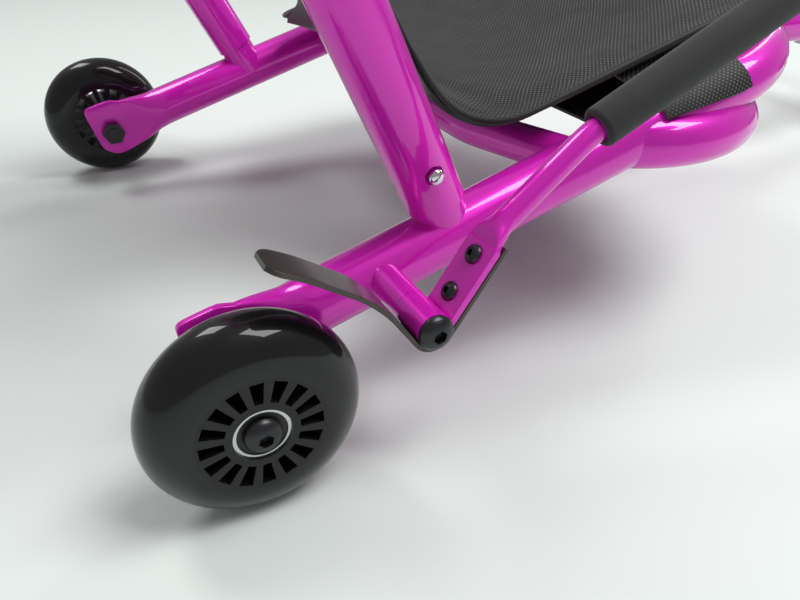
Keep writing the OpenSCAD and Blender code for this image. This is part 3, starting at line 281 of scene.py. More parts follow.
# Polished chrome plate: mirror-like, with a very faint ripple.
def polishedChromePlate():
    material, tree, surface, place = newMaterial("polishedChromePlate", Metallic=1.0)
    ripple = addNode(tree, "TexNoise", {"Vector": place, "Scale": 1 / 0.02, "Detail": 1.0}).outputs[0]
    tint(tree, surface, ripple, "#D6D7DA", "#E2E3E5")
    roughen(tree, surface, ripple, 0.05, 0.09)
    return material


# Injection-moulded black nylon: low sheen with a spark-eroded grain about 0.9 mm across.
def mouldedBlackNylon():
    material, tree, surface, place = newMaterial("mouldedBlackNylon", IOR=1.42)
    grain = addNode(tree, "TexNoise", {"Vector": place, "Scale": 1 / 0.0012, "Detail": 3.0}).outputs[0]
    patch = addNode(tree, "TexNoise", {"Vector": place, "Scale": 1 / 0.025, "Detail": 2.0}).outputs[0]
    tint(tree, surface, patch, "#0D0D0E", "#141415")
    roughen(tree, surface, patch, 0.34, 0.42)
    relief(tree, surface, grain, 0.00004, 0.4)
    return material


# Cast polyurethane tyre: semi-gloss black, smooth from the mould, with a faint uneven sheen.
def castPolyurethane():
    material, tree, surface, place = newMaterial("castPolyurethane", Specular_IOR_Level=0.1, Coat_Weight=1.0,
        Coat_Roughness=0.035, Coat_IOR=1.36)
    patch = addNode(tree, "TexNoise", {"Vector": place, "Scale": 1 / 0.03, "Detail": 2.0}).outputs[0]
    tint(tree, surface, patch, "#0F0F10", "#141415")
    roughen(tree, surface, patch, 0.34, 0.42)
    relief(tree, surface, patch, 0.0003, 0.1)
    return material


# Closed-cell foam sleeve: matt dark grey, with cut cells about 1 mm across.
def skinnedClosedCellFoam():
    material, tree, surface, place = newMaterial("skinnedClosedCellFoam", IOR=1.4, Sheen_Weight=0.15,
        Sheen_Roughness=0.5)
    cells = addNode(tree, "TexVoronoi", {"Vector": place, "Scale": 1 / 0.0011}).outputs["Distance"]
    patch = addNode(tree, "TexNoise", {"Vector": place, "Scale": 1 / 0.012, "Detail": 3.0}).outputs[0]
    tint(tree, surface, patch, "#262627", "#303031")
    roughen(tree, surface, patch, 0.78, 0.9)
    relief(tree, surface, cells, 0.00012, 0.45)
    return material


# Injection-moulded polypropylene shell: dark grey, satin, with a leather-like mould grain about 1.5 mm
# across.
def mouldedPolypropylene():
    material, tree, surface, place = newMaterial("mouldedPolypropylene", IOR=1.49)
    grain = addNode(tree, "TexVoronoi", {"Vector": place, "Scale": 1 / 0.0016}).outputs["Distance"]
    patch = addNode(tree, "TexNoise", {"Vector": place, "Scale": 1 / 0.05, "Detail": 2.0}).outputs[0]
    tint(tree, surface, patch, "#2B2C2B", "#343534")
    roughen(tree, surface, patch, 0.46, 0.58)
    relief(tree, surface, grain, 0.00008, 0.4)
    return material


# A length socket in metres becomes a wave of the given length: its cosine or sine.
def ripples(tree, length, every, operation):
    turns = addNode(tree, "Math", {0: length, 1: 2 * math.pi / every}, operation="MULTIPLY").outputs[0]
    return addNode(tree, "Math", {0: turns}, operation=operation).outputs[0]


# Woven black nylon spacer mesh: short threads 2.8 mm apart along the seat in staggered rows 1.6 mm
# apart. Each thread's crown is painted light grey, a painted highlight over the black fabric. The height is
# cos(along) * cos(across), whose peaks stagger.
def wovenSpacerMesh():
    weave = {"threadEvery": 0.0028, "rowEvery": 0.0016}
    material, tree, surface, place = newMaterial("wovenSpacerMesh", IOR=1.45, Roughness=0.62,
        Sheen_Weight=0.1, Sheen_Roughness=0.4)
    laid = addNode(tree, "UVMap", uv_map="surface").outputs[0]
    split = addNode(tree, "SeparateXYZ", {0: laid})
    along = ripples(tree, split.outputs[0], weave["threadEvery"], "COSINE")
    across = ripples(tree, split.outputs[1], 2 * weave["rowEvery"], "COSINE")
    height = addNode(tree, "Math", {0: along, 1: across}, operation="MULTIPLY").outputs[0]
    thread = addNode(tree, "MapRange", {"Value": height, "From Min": 0.38, "From Max": 0.85},
                     interpolation_type="SMOOTHSTEP").outputs[0]
    uneven = addNode(tree, "TexNoise", {"Vector": place, "Scale": 1 / 0.02, "Detail": 2.0}).outputs[0]
    # Painted highlight on the thread crowns, varied by a noise, lightens the black base colour
    crownHighlight = addNode(tree, "Math", {0: thread, 1: uneven}, operation="MULTIPLY").outputs[0]
    tint(tree, surface, crownHighlight, "#101010", "#858583")
    relief(tree, surface, thread, 0.0003, 0.6)
    return material


# Sizes of the piping in millimetres, shared by its tape's weave and its form
piping = {"radius": 1.7, "ribEvery": 1.2, "sides": 20, "sunk": 0.2, "averagings": 6}


# Black woven tape sewn over a cord: twill ribs run slantwise round it, 1.2 mm apart.
def wovenPipingTape():
    material, tree, surface = newMaterial("wovenPipingTape", IOR=1.45, Roughness=0.6,
        Sheen_Weight=0.2, Sheen_Roughness=0.4)[:3]
    laid = addNode(tree, "UVMap", uv_map="surface").outputs[0]
    split = addNode(tree, "SeparateXYZ", {0: laid})
    slant = addNode(tree, "Math", {0: split.outputs[0], 1: split.outputs[1]}, operation="ADD").outputs[0]
    rib = ripples(tree, slant, piping["ribEvery"] / 1000, "SINE")
    raised = addNode(tree, "MapRange", {"Value": rib, "From Min": -1.0, "From Max": 1.0}).outputs[0]
    # The raised rib tops are painted a little lighter than the grooves: a painted highlight
    tint(tree, surface, raised, "#0A0A0B", "#141415")
    relief(tree, surface, raised, 0.0001, 0.5)
    return material


finishes = {"magenta_paint": sprayedMagentaLacquer(), "black_paint": bakedBlackPowderCoat(),
            "black_bolts": oiledBlackOxideSteel(), "zinc_steel": platedZincSteel(),
            "bearing_steel": groundBearingSteel(), "chrome": polishedChromePlate(),
            "black_nylon": mouldedBlackNylon(), "tyre_black": castPolyurethane(),
            "foam_black": skinnedClosedCellFoam(), "seat_mesh": wovenSpacerMesh(),
            "piping_black": wovenPipingTape(), "shell_grey": mouldedPolypropylene()}
for subpart in frame["record"]["subparts"]:
    slots = nodes[subpart["node"]].data.materials
    slots.clear()
    slots.append(finishes[subpart["material_slot"]])
print("materials ready:", len(finishes))


# Gives a finished piece the material of its record slot and its body, and hides the CAD nodes that it stands
# for.
def finishPiece(piece, slot, body, *replaced):
    piece.data.materials.clear()
    piece.data.materials.append(finishes[slot])
    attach(piece, body)
    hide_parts(*replaced)
    return piece


# Frame arms

# The pairs are the stretches of the arm over which each quantity of the taper changes
armForm = {"end": 325.6, "sides": 64, "tabInset": 2.3, "tabHalf": 2.5, "squareness": 9.0,
           "taperLow": -20.8, "taperHigh": 19.9, "taperFrom": 15, "taperTo": 50, "taperRings": 22,
           "thickens": (12, 50), "lowEdge": (10, 50), "highEdge": (10, 42), "rounds": (12, 40),
           "roundPower": 0.35, "tubeFrom": 52, "tubeRings": 8}
# Along the arm, lower edge and upper edge of the flattened end
tabOutline = [[-14.6, -8.5, 16.6], [-14.3, -11.0, 20.2], [-13.3, -13.5, 22.4], [-11.5, -16.0, 23.4],
              [-9.0, -18.5, 23.7], [-6.0, -20.5, 23.7], [-2.0, -21.8, 23.6], [4.0, -21.8, 23.4],
              [8.4, -21.4, 22.9], [11.6, -21.0, 21.4], [14.0, -20.8, 20.2]]


# Rings across the arm: a rounded rectangle that follows the flattened end's outline, then a taper in
# which height, thickness, inset and roundness ease over to the round tube. A ring is one row of
# (along, low, high, half thickness, inset, power).
def buildArm(name, side):
    outline = np.array(tabOutline)
    radius, half, inset = chassis["armTube"] / 2, armForm["tabHalf"], armForm["tabInset"]
    flat = np.column_stack([outline, np.tile([half, inset, armForm["squareness"]], (len(outline), 1))])
    taper = np.linspace(armForm["taperFrom"], armForm["taperTo"], armForm["taperRings"])
    swell = ease(taper, *armForm["thickens"])
    tapered = np.column_stack([taper,
        armForm["taperLow"] + (-armForm["taperLow"] - radius) * ease(taper, *armForm["lowEdge"]),
        armForm["taperHigh"] + (radius - armForm["taperHigh"]) * ease(taper, *armForm["highEdge"]),
        half + (radius - half) * swell, inset * (1 - swell),
        armForm["squareness"]
        - (armForm["squareness"] - 2) * ease(taper, *armForm["rounds"]) ** armForm["roundPower"]])
    tube = np.linspace(armForm["tubeFrom"], armForm["end"], armForm["tubeRings"])
    plain = np.column_stack([tube, np.tile([-radius, radius, radius, 0, 2], (len(tube), 1))])
    along, low, high, thick, inset, power = np.concatenate([flat, tapered, plain]).T[:, :, None]
    y, z = superellipse(thick, (high - low) / 2, power, armForm["sides"])
    across = side * (chassis["armSide"] - inset - y)
    up = (high + low) / 2 + z
    points = fromArms(np.stack([np.broadcast_to(along, up.shape), across, up], -1))
    return gridPiece(name, points, closeColumns=True, fillEnds=True, sharp=50)


finishPiece(buildArm("armRight", -1), "magenta_paint", "frame", "arm_right")
finishPiece(buildArm("armLeft", 1), "magenta_paint", "frame", "arm_left")
print("arms made")

# Wheels

wheelForms = {
    "rear": {"diameter": 100.0, "width": 34.0, "hub": 58.0},
    "front": {"diameter": 145.0, "width": 30.0, "hub": 90.0},
    "rim": {"flat": 1.0, "crownPower": 0.95, "ribFoot": 7.0, "ribTop": 6.0, "ribHeight": 4.0},
}


# Tyre outline: a narrow flat face, then a shoulder from one side over the tread to the other, whose
# radius is its inner edge + crown * cos(a)^0.95, and inside it the groove round the hub's rib.
def buildTyre(name, form, centre):
    rim = wheelForms["rim"]
    hub, half, foot, top = form["hub"] / 2, form["width"] / 2, rim["ribFoot"], rim["ribTop"]
    crown = form["diameter"] / 2 - hub - rim["flat"]
    a = np.radians(np.linspace(-90, 90, 49))
    radius = form["diameter"] / 2 - crown + crown * np.cos(a) ** rim["crownPower"]
    shoulder = np.stack([radius, half * np.sin(a)], -1)
    ribTop = hub + rim["ribHeight"]
    groove = np.array([[hub, half], [hub, foot], [ribTop, top], [ribTop, -top], [hub, -foot], [hub, -half]])
    return turnedPiece(name, np.concatenate([shoulder, groove]), centre, [0, -1, 0], steps=160, sharp=30)


middle = chassis["middle"]
finishPiece(buildTyre("rearTyreRight", wheelForms["rear"], [-middle, -axles["rearSide"], axles["rearLift"]]),
            "tyre_black", "rear_wheel_right", "rear_tyre_right")
finishPiece(buildTyre("rearTyreLeft", wheelForms["rear"], [-middle, axles["rearSide"], axles["rearLift"]]),
            "tyre_black", "rear_wheel_left", "rear_tyre_left")
finishPiece(buildTyre("frontTyre", wheelForms["front"], [axles["frontAlong"], 0, axles["frontLift"]]),
            "tyre_black", "front_wheel", "front_tyre")
print("tyres made")

# Hand brake

# Lengths in millimetres, slopes in degrees above forward, turns in degrees
brake = {"x": 81.815, "z": 76.566, "outer": 221.0, "width": 22.0, "hub": 8.5, "gap": 0.2,
         "plateStart": 3.2, "plateSlope": 54.2, "plateLength": 47.0, "plateThick": 4.0, "plateTaper": 1.6,
         "taperLength": 4.5, "plateSquareness": 12, "grooveAt": 44.6, "grooveDeep": 0.3,
         "grooveSpread": 0.7, "neckLength": 12.0, "neckPull": 10, "leverTube": 11.5, "leverSlope": 38.2,
         "leverStraight": 45.8, "bendRadius": 50.0, "handleSlope": 24.7, "handleLength": 113.0,
         "gripTube": 19.5, "gripLength": 125.0, "bandThick": 2.4, "bandSquareness": 16.0,
         "wrapTo": 214.0, "flapStart": 17.0, "flapRadius": 75.0, "flapTurn": 22.0, "flapRun": 15.0,
         "tipTurn": 12.0, "tipLength": 24.0, "tipRound": 7.0, "tipStop": 0.4}
brakeMiddle = np.array([brake["x"] - middle, -brake["outer"] - (brake["width"] + brake["gap"]) / 2,
                        brake["z"]])


# Unit vector in the side view at an angle above forward.
def heading(degrees):
    return np.stack([np.cos(np.radians(degrees)), np.sin(np.radians(degrees))], -1)


# Point on the lever's plate: a distance along its slope and a distance square below it.
def onPlate(along, below):
    return along * heading(brake["plateSlope"]) + below * heading(brake["plateSlope"] - 90)


# Rings square to a path in the side view: across runs sideways, up is the path's heading turned by
# a quarter, and both are scaled by the outline's half width and half thickness.
def sweepSide(name, path, headings, halfWidth, halfThick, power, sides):
    across, up = superellipse(halfWidth[:, None], halfThick[:, None], power[:, None], sides)
    normal = heading(headings + 90)
    points = np.stack([brakeMiddle[0] + path[:, 0, None] + normal[:, 0, None] * up,
                       brakeMiddle[1] + across,
                       brakeMiddle[2] + path[:, 1, None] + normal[:, 1, None] * up], -1) / 1000
    return gridPiece(name, points, closeColumns=True, fillEnds=True, sharp=50)


# The lever's path: straight along the plate, a short cubic to the tube, straight, an arc of the bend
# radius, straight through the grip. Its outline eases from the flat plate to the round tube. The plate
# narrows near its upper end, and a shallow pressed groove crosses it there.
def buildLever():
    middleOfPlate = brake["hub"] - brake["plateThick"] / 2
    narrowFrom, pull = brake["plateLength"] - brake["taperLength"], brake["neckPull"]
    plate = np.concatenate([np.linspace(brake["plateStart"], brake["plateLength"] - 5, 12),
                            np.linspace(brake["plateLength"] - 4, brake["plateLength"], 9)])
    plateEnd = onPlate(brake["plateLength"], middleOfPlate)
    leverFrom = plateEnd + brake["neckLength"] * heading(brake["leverSlope"])
    t = np.linspace(0, 1, 14)[1:, None]
    startPull, endPull = heading(brake["plateSlope"]) * pull, heading(brake["leverSlope"]) * pull
    neck = ((2 * t ** 3 - 3 * t ** 2 + 1) * plateEnd + (t ** 3 - 2 * t ** 2 + t) * startPull
            + (3 * t ** 2 - 2 * t ** 3) * leverFrom + (t ** 3 - t ** 2) * endPull)
    straight = leverFrom + np.linspace(0, brake["leverStraight"], 6)[1:, None] * heading(brake["leverSlope"])
    centre = straight[-1] + brake["bendRadius"] * heading(brake["leverSlope"] - 90)
    arcSlope = np.linspace(brake["leverSlope"], brake["handleSlope"], 12)[1:]
    arc = centre + brake["bendRadius"] * heading(arcSlope + 90)
    handle = arc[-1] + np.linspace(0, brake["handleLength"], 6)[1:, None] * heading(brake["handleSlope"])
    path = np.concatenate([onPlate(plate[:, None], middleOfPlate), neck, straight, arc, handle])
    slopeFall = brake["leverSlope"] - brake["plateSlope"]
    slopes = np.concatenate([np.full(len(plate), brake["plateSlope"]),
                             brake["plateSlope"] + slopeFall * ease(t[:, 0], 0, 1),
                             np.full(len(straight), brake["leverSlope"]), arcSlope,
                             np.full(len(handle), brake["handleSlope"])])
    rest = len(path) - len(plate) - len(t)
    rounding = np.concatenate([np.zeros(len(plate)), ease(t[:, 0], -0.15, 1.0), np.ones(rest)])
    groove = brake["grooveDeep"] * np.exp(-((plate - brake["grooveAt"]) / brake["grooveSpread"]) ** 2)
    groove = np.append(groove, np.zeros(len(path) - len(plate)))
    plateHalf, tubeHalf = (brake["width"] - brake["gap"]) / 2, brake["leverTube"] / 2
    neckHalf, thickHalf = plateHalf - brake["plateTaper"], brake["plateThick"] / 2
    halfWidth = np.append(plateHalf - brake["plateTaper"] * ease(plate, narrowFrom, brake["plateLength"]),
                          neckHalf + (tubeHalf - neckHalf) * rounding[len(plate):])
    halfThick = thickHalf + (tubeHalf - thickHalf) * rounding - groove
    softening = np.concatenate([np.zeros(len(plate)), ease(t[:, 0], 0, 0.7) ** 0.25, np.ones(rest)])
    power = brake["plateSquareness"] - (brake["plateSquareness"] - 2) * softening
    piece = sweepSide("brakeLever", path, slopes, halfWidth, halfThick, power, sides=64)
    return piece, arc[-1]


brakeLever, handleAt = buildLever()
finishPiece(brakeLever, "magenta_paint", "brake", "brake_lever")


# The band's middle line: along the plate's underside, round the hub at a constant distance, straight,
# an arc the other way, straight, and a flatter arc over the wheel, whose end has its corners rounded by
# narrowing the width along a quarter circle, which stops a little short of the full quarter.
def buildBand():
    r = brake["hub"] + brake["gap"] + brake["bandThick"] / 2
    plate = onPlate(np.linspace(brake["plateLength"], 0, 10)[:, None], r)
    turn = np.linspace(270 + brake["plateSlope"], brake["wrapTo"], 40)[1:]
    wrap = r * heading(turn)
    leave = brake["wrapTo"] - 90
    run = wrap[-1] + np.linspace(0, brake["flapStart"], 4)[1:, None] * heading(leave)
    centre = run[-1] + brake["flapRadius"] * heading(leave + 90)
    bendTo = np.linspace(leave, leave + brake["flapTurn"], 16)[1:]
    bend = centre + brake["flapRadius"] * heading(bendTo - 90)
    flat = bend[-1] + np.linspace(0, brake["flapRun"], 8)[1:, None] * heading(bendTo[-1])
    tipRadius = brake["tipLength"] * 180 / brake["tipTurn"] / math.pi
    tipShare = np.linspace(0, 1, 41)[1:]
    tipSlope = bendTo[-1] + brake["tipTurn"] * tipShare
    tip = flat[-1] + tipRadius * (heading(tipSlope - 90) - heading(bendTo[-1] - 90))
    path = np.concatenate([plate, wrap, run, bend, flat, tip])
    slopes = np.concatenate([np.full(len(plate), brake["plateSlope"] + 180), turn - 90,
                             np.full(len(run), leave), bendTo, np.full(len(flat), bendTo[-1]), tipSlope])
    half, corner = (brake["width"] - brake["gap"]) / 2, brake["tipRound"]
    cut = np.clip(corner - brake["tipLength"] * (1 - tipShare), 0, corner - brake["tipStop"])
    width = np.full(len(path), half)
    width[-len(tip):] += np.sqrt(corner ** 2 - cut ** 2) - corner
    return sweepSide("brakeBand", path, slopes, width, np.full(len(path), brake["bandThick"] / 2),
                     np.full(len(path), brake["bandSquareness"]), sides=40)


finishPiece(buildBand(), "black_paint", "brake", "brake_band")


sleeve = {"chamfer": 2.0, "rimInside": 0.6, "endRim": 1.2, "bulge": 0.12, "endWall": 12.0, "endRing": 2.0,
          "centre": 0.01}


# Foam sleeve: outline from the bore over a rounded rim, a slightly bulged length and a rounded end,
# which is open or has a thick wall across it. It runs from one distance along the axis to another.
def buildGrip(name, start, axis, inner, outer, length, openEnd, rim, begin=0.0):
    endRim = rim * sleeve["endRim"]
    front = roundCorner([inner, begin + sleeve["chamfer"]], [inner, begin],
                        [inner + rim * sleeve["rimInside"], begin], 5)
    shoulder = roundCorner([outer - rim, begin], [outer, begin], [outer, begin + rim], 8)
    z = np.linspace(begin + rim, length - endRim, 14)[1:-1]
    bulge = sleeve["bulge"] * np.sin(math.pi * (z - begin) / (length - begin))
    body = np.stack([outer + bulge, z], -1)
    back = roundCorner([outer, length - endRim], [outer, length], [outer - endRim, length], 8)
    if openEnd:
        close = [[inner, length], [inner, length - sleeve["chamfer"]]]
    else:
        wallAt, centre = length - sleeve["endWall"], sleeve["centre"]
        close = [[sleeve["endRing"], length], [centre, length], [centre, wallAt], [inner, wallAt]]
    outline = np.concatenate([front, shoulder, body, back, close])
    return turnedPiece(name, outline, start, axis, steps=72, sharp=40)


gripAxis = heading(brake["handleSlope"])
gripStart = [brakeMiddle[0] + handleAt[0], brakeMiddle[1], brakeMiddle[2] + handleAt[1]]
brakeGrip = buildGrip("brakeGrip", gripStart, [gripAxis[0], 0, gripAxis[1]], brake["leverTube"] / 2,
                      brake["gripTube"] / 2, brake["gripLength"], False, rim=2.2, begin=-2.0)
finishPiece(brakeGrip, "foam_black", "brake", "brake_grip")
print("hand brake made")

# Foot bar grips

footBar = {"x": 311.95, "half": 245.0, "tube": 25.4, "grip": 36.0, "length": 125.0}
for name, side in (("footGripRight", -1), ("footGripLeft", 1)):
    grip = buildGrip(name, [footBar["x"], side * footBar["half"], chassis["bowLift"]], [0, -side, 0],
                     footBar["tube"] / 2, footBar["grip"] / 2, footBar["length"], True, rim=3.0)
    finishPiece(grip, "foam_black", "foot_section", "foot_grips")
print("foot grips made")

# Seat

seat = {"half": 166.5, "rim": 36.4, "dish": 2.5, "pad": 3.0, "shellTop": 3.3, "shellBottom": 6.3,
        "shellShare": 0.975}
# From the front lip over the seat and up the back, in the arms' frame: middle along and up, half width
# less the seat's, then rim along, and rim height above the seat's rim
seatSections = [
    [414, -5, -44, 413, -37], [416, 11, -22, 412, -22], [404, 24, -9, 400, -8], [378, 27, -2, 376, 0],
    [345, 25, 0, 345, 0], [308, 22, 0, 308, 0], [271, 22, 0, 271, 0], [240, 24, 0, 243, 0],
    [212, 29, 0, 212, 0], [192, 35, -1, 190, 0], [182, 40, -9, 175, 2], [176.5, 45, -28, 170, 5],
    [171, 54, -53, 171, 11], [167.5, 66, -75, 174, 22], [163, 85, -85, 173, 37], [155, 113, -85, 166, 66],
    [145, 148, -74, 157, 104], [135, 183, -58, 150, 143], [126, 218, -50, 141, 182],
    [117, 248, -54, 131, 214], [112, 268, -68, 122, 235], [109, 279, -92, 115, 247]]
lastSection = len(seatSections) - 1


# The seat's upper surface: at share v of the half width, along and height go from the middle's values
# to the rim's by |v|^dish. The sections are joined by a smooth curve in u.
def seatTop(u, v):
    rows = throughRows(seatSections, u)[:, None, :]
    k = np.abs(v)[None, :] ** seat["dish"]
    middleAlong, middleUp, widen, rimAlong, rimUp = np.moveaxis(rows, -1, 0)
    return np.stack([middleAlong + (rimAlong - middleAlong) * k, v[None, :] * (seat["half"] + widen),
                     middleUp + (seat["rim"] + rimUp - middleUp) * k], -1)


# Normals of the upper surface: cross product of its slopes along u and across v, taken a tenth of the
# half width inside the rim where it is nearer than that, because the crease folds sharply at the rim.
def seatNormals(u, v):
    v = np.clip(v, -0.9, 0.9)
    du = seatTop(np.clip(u + 0.5, 0, lastSection), v) - seatTop(np.clip(u - 0.5, 0, lastSection), v)
    dv = seatTop(u, v + 0.06) - seatTop(u, v - 0.06)
    return unit(np.cross(dv, du))


# Surface at a depth square below the upper one.
def seatAt(u, v, depth):
    return seatTop(u, v) - seatNormals(u, v) * depth


# Closed sheet between two surfaces: columns run over the upper side, round one edge, back along the
# lower side and round the other edge. The edges' middle lines may stand out by a bulge.
def closedSheet(upper, lower, bulge=0.0):
    middleLine = (upper + lower) / 2
    edgeA = middleLine[:, :1] + unit(upper[:, :1] - upper[:, 1:2]) * bulge
    edgeB = middleLine[:, -1:] + unit(upper[:, -1:] - upper[:, -2:-1]) * bulge
    return np.concatenate([upper, edgeB, lower[:, ::-1], edgeA], 1)


# Length along the middle of the rows, and across each row from its middle, for a weave that follows
# the surface. The lower side has the same lengths in reverse.
def sheetLengths(upper):
    centre = upper.shape[1] // 2
    along = np.append(0, np.cumsum(np.linalg.norm(np.diff(upper[:, centre], axis=0), axis=1)))
    across = np.cumsum(np.linalg.norm(np.diff(upper, axis=1), axis=2), 1)
    across = np.pad(across, ((0, 0), (1, 0)))
    across -= across[:, centre, None]
    around = np.concatenate([across, across[:, -1:], across[:, ::-1], across[:, :1], across[:, :1]], 1)
    uv = np.stack([np.repeat(along[:, None], around.shape[1], 1), around], -1) / 1000
    return np.concatenate([uv, uv[-1:]], 0)


# Rows through the sections, and columns across, drawn together towards both edges by a sine
packed = math.pi / 2 * 0.94
rowShare = np.linspace(0, lastSection, 85)
columnShare = np.sin(np.linspace(-packed, packed, 61)) / math.sin(packed)
padUpper = seatAt(rowShare, columnShare, 0.0)
padLower = seatAt(rowShare, columnShare, seat["pad"])
padGrid = closedSheet(padUpper, padLower)
padSurface = gridPiece("seatPad", fromArms(padGrid), closeColumns=True, fillEnds=True,
                       uv=sheetLengths(padUpper), sharp=60)


# Foam under the mesh swells inside the sewn hem: a cloth with air pressure, its underside and hem held,
# runs for 20 frames, and no point may end further out than the cap.
def puffUp(piece, held, pressure, cap):
    frames = 20
    rest = np.empty(len(piece.data.vertices) * 3)
    piece.data.vertices.foreach_get("co", rest)
    group = piece.vertex_groups.new(name="held")
    group.add(np.flatnonzero(held).tolist(), 1.0, "REPLACE")
    cloth = piece.modifiers.new("puff", "CLOTH")
    cloth.settings.quality = 4
    cloth.settings.mass = 0.2
    cloth.settings.tension_stiffness = 12
    cloth.settings.compression_stiffness = 12
    cloth.settings.bending_stiffness = 0.6
    cloth.settings.use_pressure = True
    cloth.settings.uniform_pressure_force = pressure
    cloth.settings.vertex_group_mass = "held"
    cloth.settings.effector_weights.gravity = 0.0
    cloth.collision_settings.use_collision = False
    cloth.point_cache.frame_start, cloth.point_cache.frame_end = 1, frames
    for step in range(1, frames + 1):
        scene.frame_set(step)
    swollen = piece.evaluated_get(bpy.context.evaluated_depsgraph_get()).to_mesh()
    moved = np.empty_like(rest)
    swollen.vertices.foreach_get("co", moved)
    piece.modifiers.remove(cloth)
    scene.frame_set(1)
    shift = (moved - rest).reshape(-1, 3)
    length = np.linalg.norm(shift, axis=1, keepdims=True)
    shift *= np.minimum(1, cap / np.maximum(length, 1e-9))
    piece.data.vertices.foreach_set("co", (rest.reshape(-1, 3) + shift).ravel())
    piece.data.update()
    print("puffed", piece.name, "by up to", round(float(np.linalg.norm(shift, axis=1).max() * 1000), 2), "mm")


# Held points of the pad: three rows at each end, the outer columns on top, and the whole underside
held = np.ones(padGrid.shape[:2], bool)
held[3:-3, :len(columnShare)] = np.abs(columnShare) > 0.93
puffUp(padSurface, held.ravel(), pressure=1.2, cap=0.0022)
smoother = padSurface.modifiers.new("smooth", "SUBSURF")
smoother.levels = smoother.render_levels = 1
finishPiece(padSurface, "seat_mesh", "frame", "seat_pad")

shellColumns = columnShare * seat["shellShare"]
shellUpper = seatAt(rowShare, shellColumns, seat["shellTop"])
shellLower = seatAt(rowShare, shellColumns, seat["shellBottom"])
shellPiece = gridPiece("seatShell", fromArms(closedSheet(shellUpper, shellLower, bulge=0.5)),
                       closeColumns=True, fillEnds=True, sharp=50)
finishPiece(shellPiece, "shell_grey", "frame", "seat_shell")
print("seat pad and shell made")


# Piping: a closed tube whose middle runs round the seat's rim, nearly a radius outside the sheets'
# edge, in which it is sunk a little. The path's points are averaged with their neighbours a few times,
# which rounds the corners. Lengths are whole numbers of the tape's twill ribs, so that the weave meets
# itself.
def buildPiping():
    depth, r, twill, sides = seat["pad"] / 2, piping["radius"], piping["ribEvery"], piping["sides"]
    side = np.linspace(0, lastSection, 120)
    edge = np.linspace(-1, 1, 40)
    parts = [(side[:1], edge[:-1]), (side[:-1], edge[-1:]), (side[-1:], edge[:0:-1]), (side[:0:-1], edge[:1])]
    path = np.concatenate([seatAt(u, v, depth).reshape(-1, 3) for u, v in parts])
    up = np.concatenate([seatNormals(u, v).reshape(-1, 3) for u, v in parts])
    for step in range(piping["averagings"]):
        path = path * 0.5 + (np.roll(path, 1, 0) + np.roll(path, -1, 0)) * 0.25
        up = unit(up * 0.5 + (np.roll(up, 1, 0) + np.roll(up, -1, 0)) * 0.25)
    along = unit(np.roll(path, -1, 0) - np.roll(path, 1, 0))
    out = unit(np.cross(along, up))
    up = np.cross(out, along)
    angle = np.arange(sides)[:, None] / sides * 2 * math.pi
    centre = path + out * (r - piping["sunk"])
    points = centre[:, None] + (np.cos(angle) * out[:, None] + np.sin(angle) * up[:, None]) * r
    lengths = np.append(0, np.cumsum(np.linalg.norm(np.roll(path, -1, 0) - path, axis=1)))
    lengths *= round(lengths[-1] / twill) * twill / lengths[-1]
    turn = np.arange(sides + 1) / sides * round(2 * math.pi * r / twill) * twill
    uv = np.stack(np.meshgrid(lengths, turn, indexing="ij"), -1) / 1000
    return gridPiece("seatPiping", fromArms(points), closeRows=True, closeColumns=True, uv=uv, sharp=80)


finishPiece(buildPiping(), "piping_black", "frame", "seat_piping")

cover = {"from": 254.0, "to": 322.0, "cut": 29.0, "edge": 10.5, "thick": 3.0, "gap": 0.2, "arcFrom": 66.0,
         "innerFrom": 82.0, "low": 14.0, "hem": 32.4, "hemFall": 0.38, "lipIn": 2.0, "lipUnder": 1.6,
         "lipThick": 3.0, "crown": 1.1, "bowCentre": [280.0, 122.554], "bowRadius": 70.0, "bowIn": 2.5}


# Start of the mesh cover along the arm, at a height above it: the rear edge slants forward from the
# seat's rim, and runs square to the arm from where it has come forward by the edge's length.
def coverStart(up):
    slant = (seat["rim"] - up) * math.tan(math.radians(cover["cut"]))
    return cover["from"] + np.minimum(slant, cover["edge"])


# A profile of (across, up) from the arm's middle, one for each row or one for all, spread along the arm
# from the slanted rear edge to the front end.
def spreadAlong(profile, rows, side):
    first = coverStart(profile[..., 1])
    along = first + (cover["to"] - first) * rows[:, None]
    across = np.broadcast_to(side * (chassis["armSide"] + profile[..., 0]), along.shape)
    return np.stack([along, across, np.broadcast_to(profile[..., 1], along.shape)], -1)


# How low the cover reaches round the arm, in degrees above level, for each row: the hem falls with the
# distance along the arm, and stops where it would enter the bow's tube, a ring with a round section.
def coverLowest(outer, rows):
    angle = np.linspace(cover["arcFrom"], cover["low"], 181)
    place = fromArms(spreadAlong(outer * heading(angle), rows, 1)) * 1000
    fromBow = np.hypot(place[..., 0] + middle - cover["bowCentre"][0], place[..., 1] - cover["bowCentre"][1])
    depthInBow = np.hypot(fromBow - cover["bowRadius"], place[..., 2] - chassis["bowLift"])
    inside = depthInBow < chassis["bowTube"] / 2 - cover["bowIn"]
    stop = np.where(inside.any(1), inside.argmax(1), len(angle) - 1)
    fall = (cover["to"] - cover["from"] - cover["edge"]) * rows * cover["hemFall"]
    return np.maximum(angle[stop], cover["hem"] - fall)


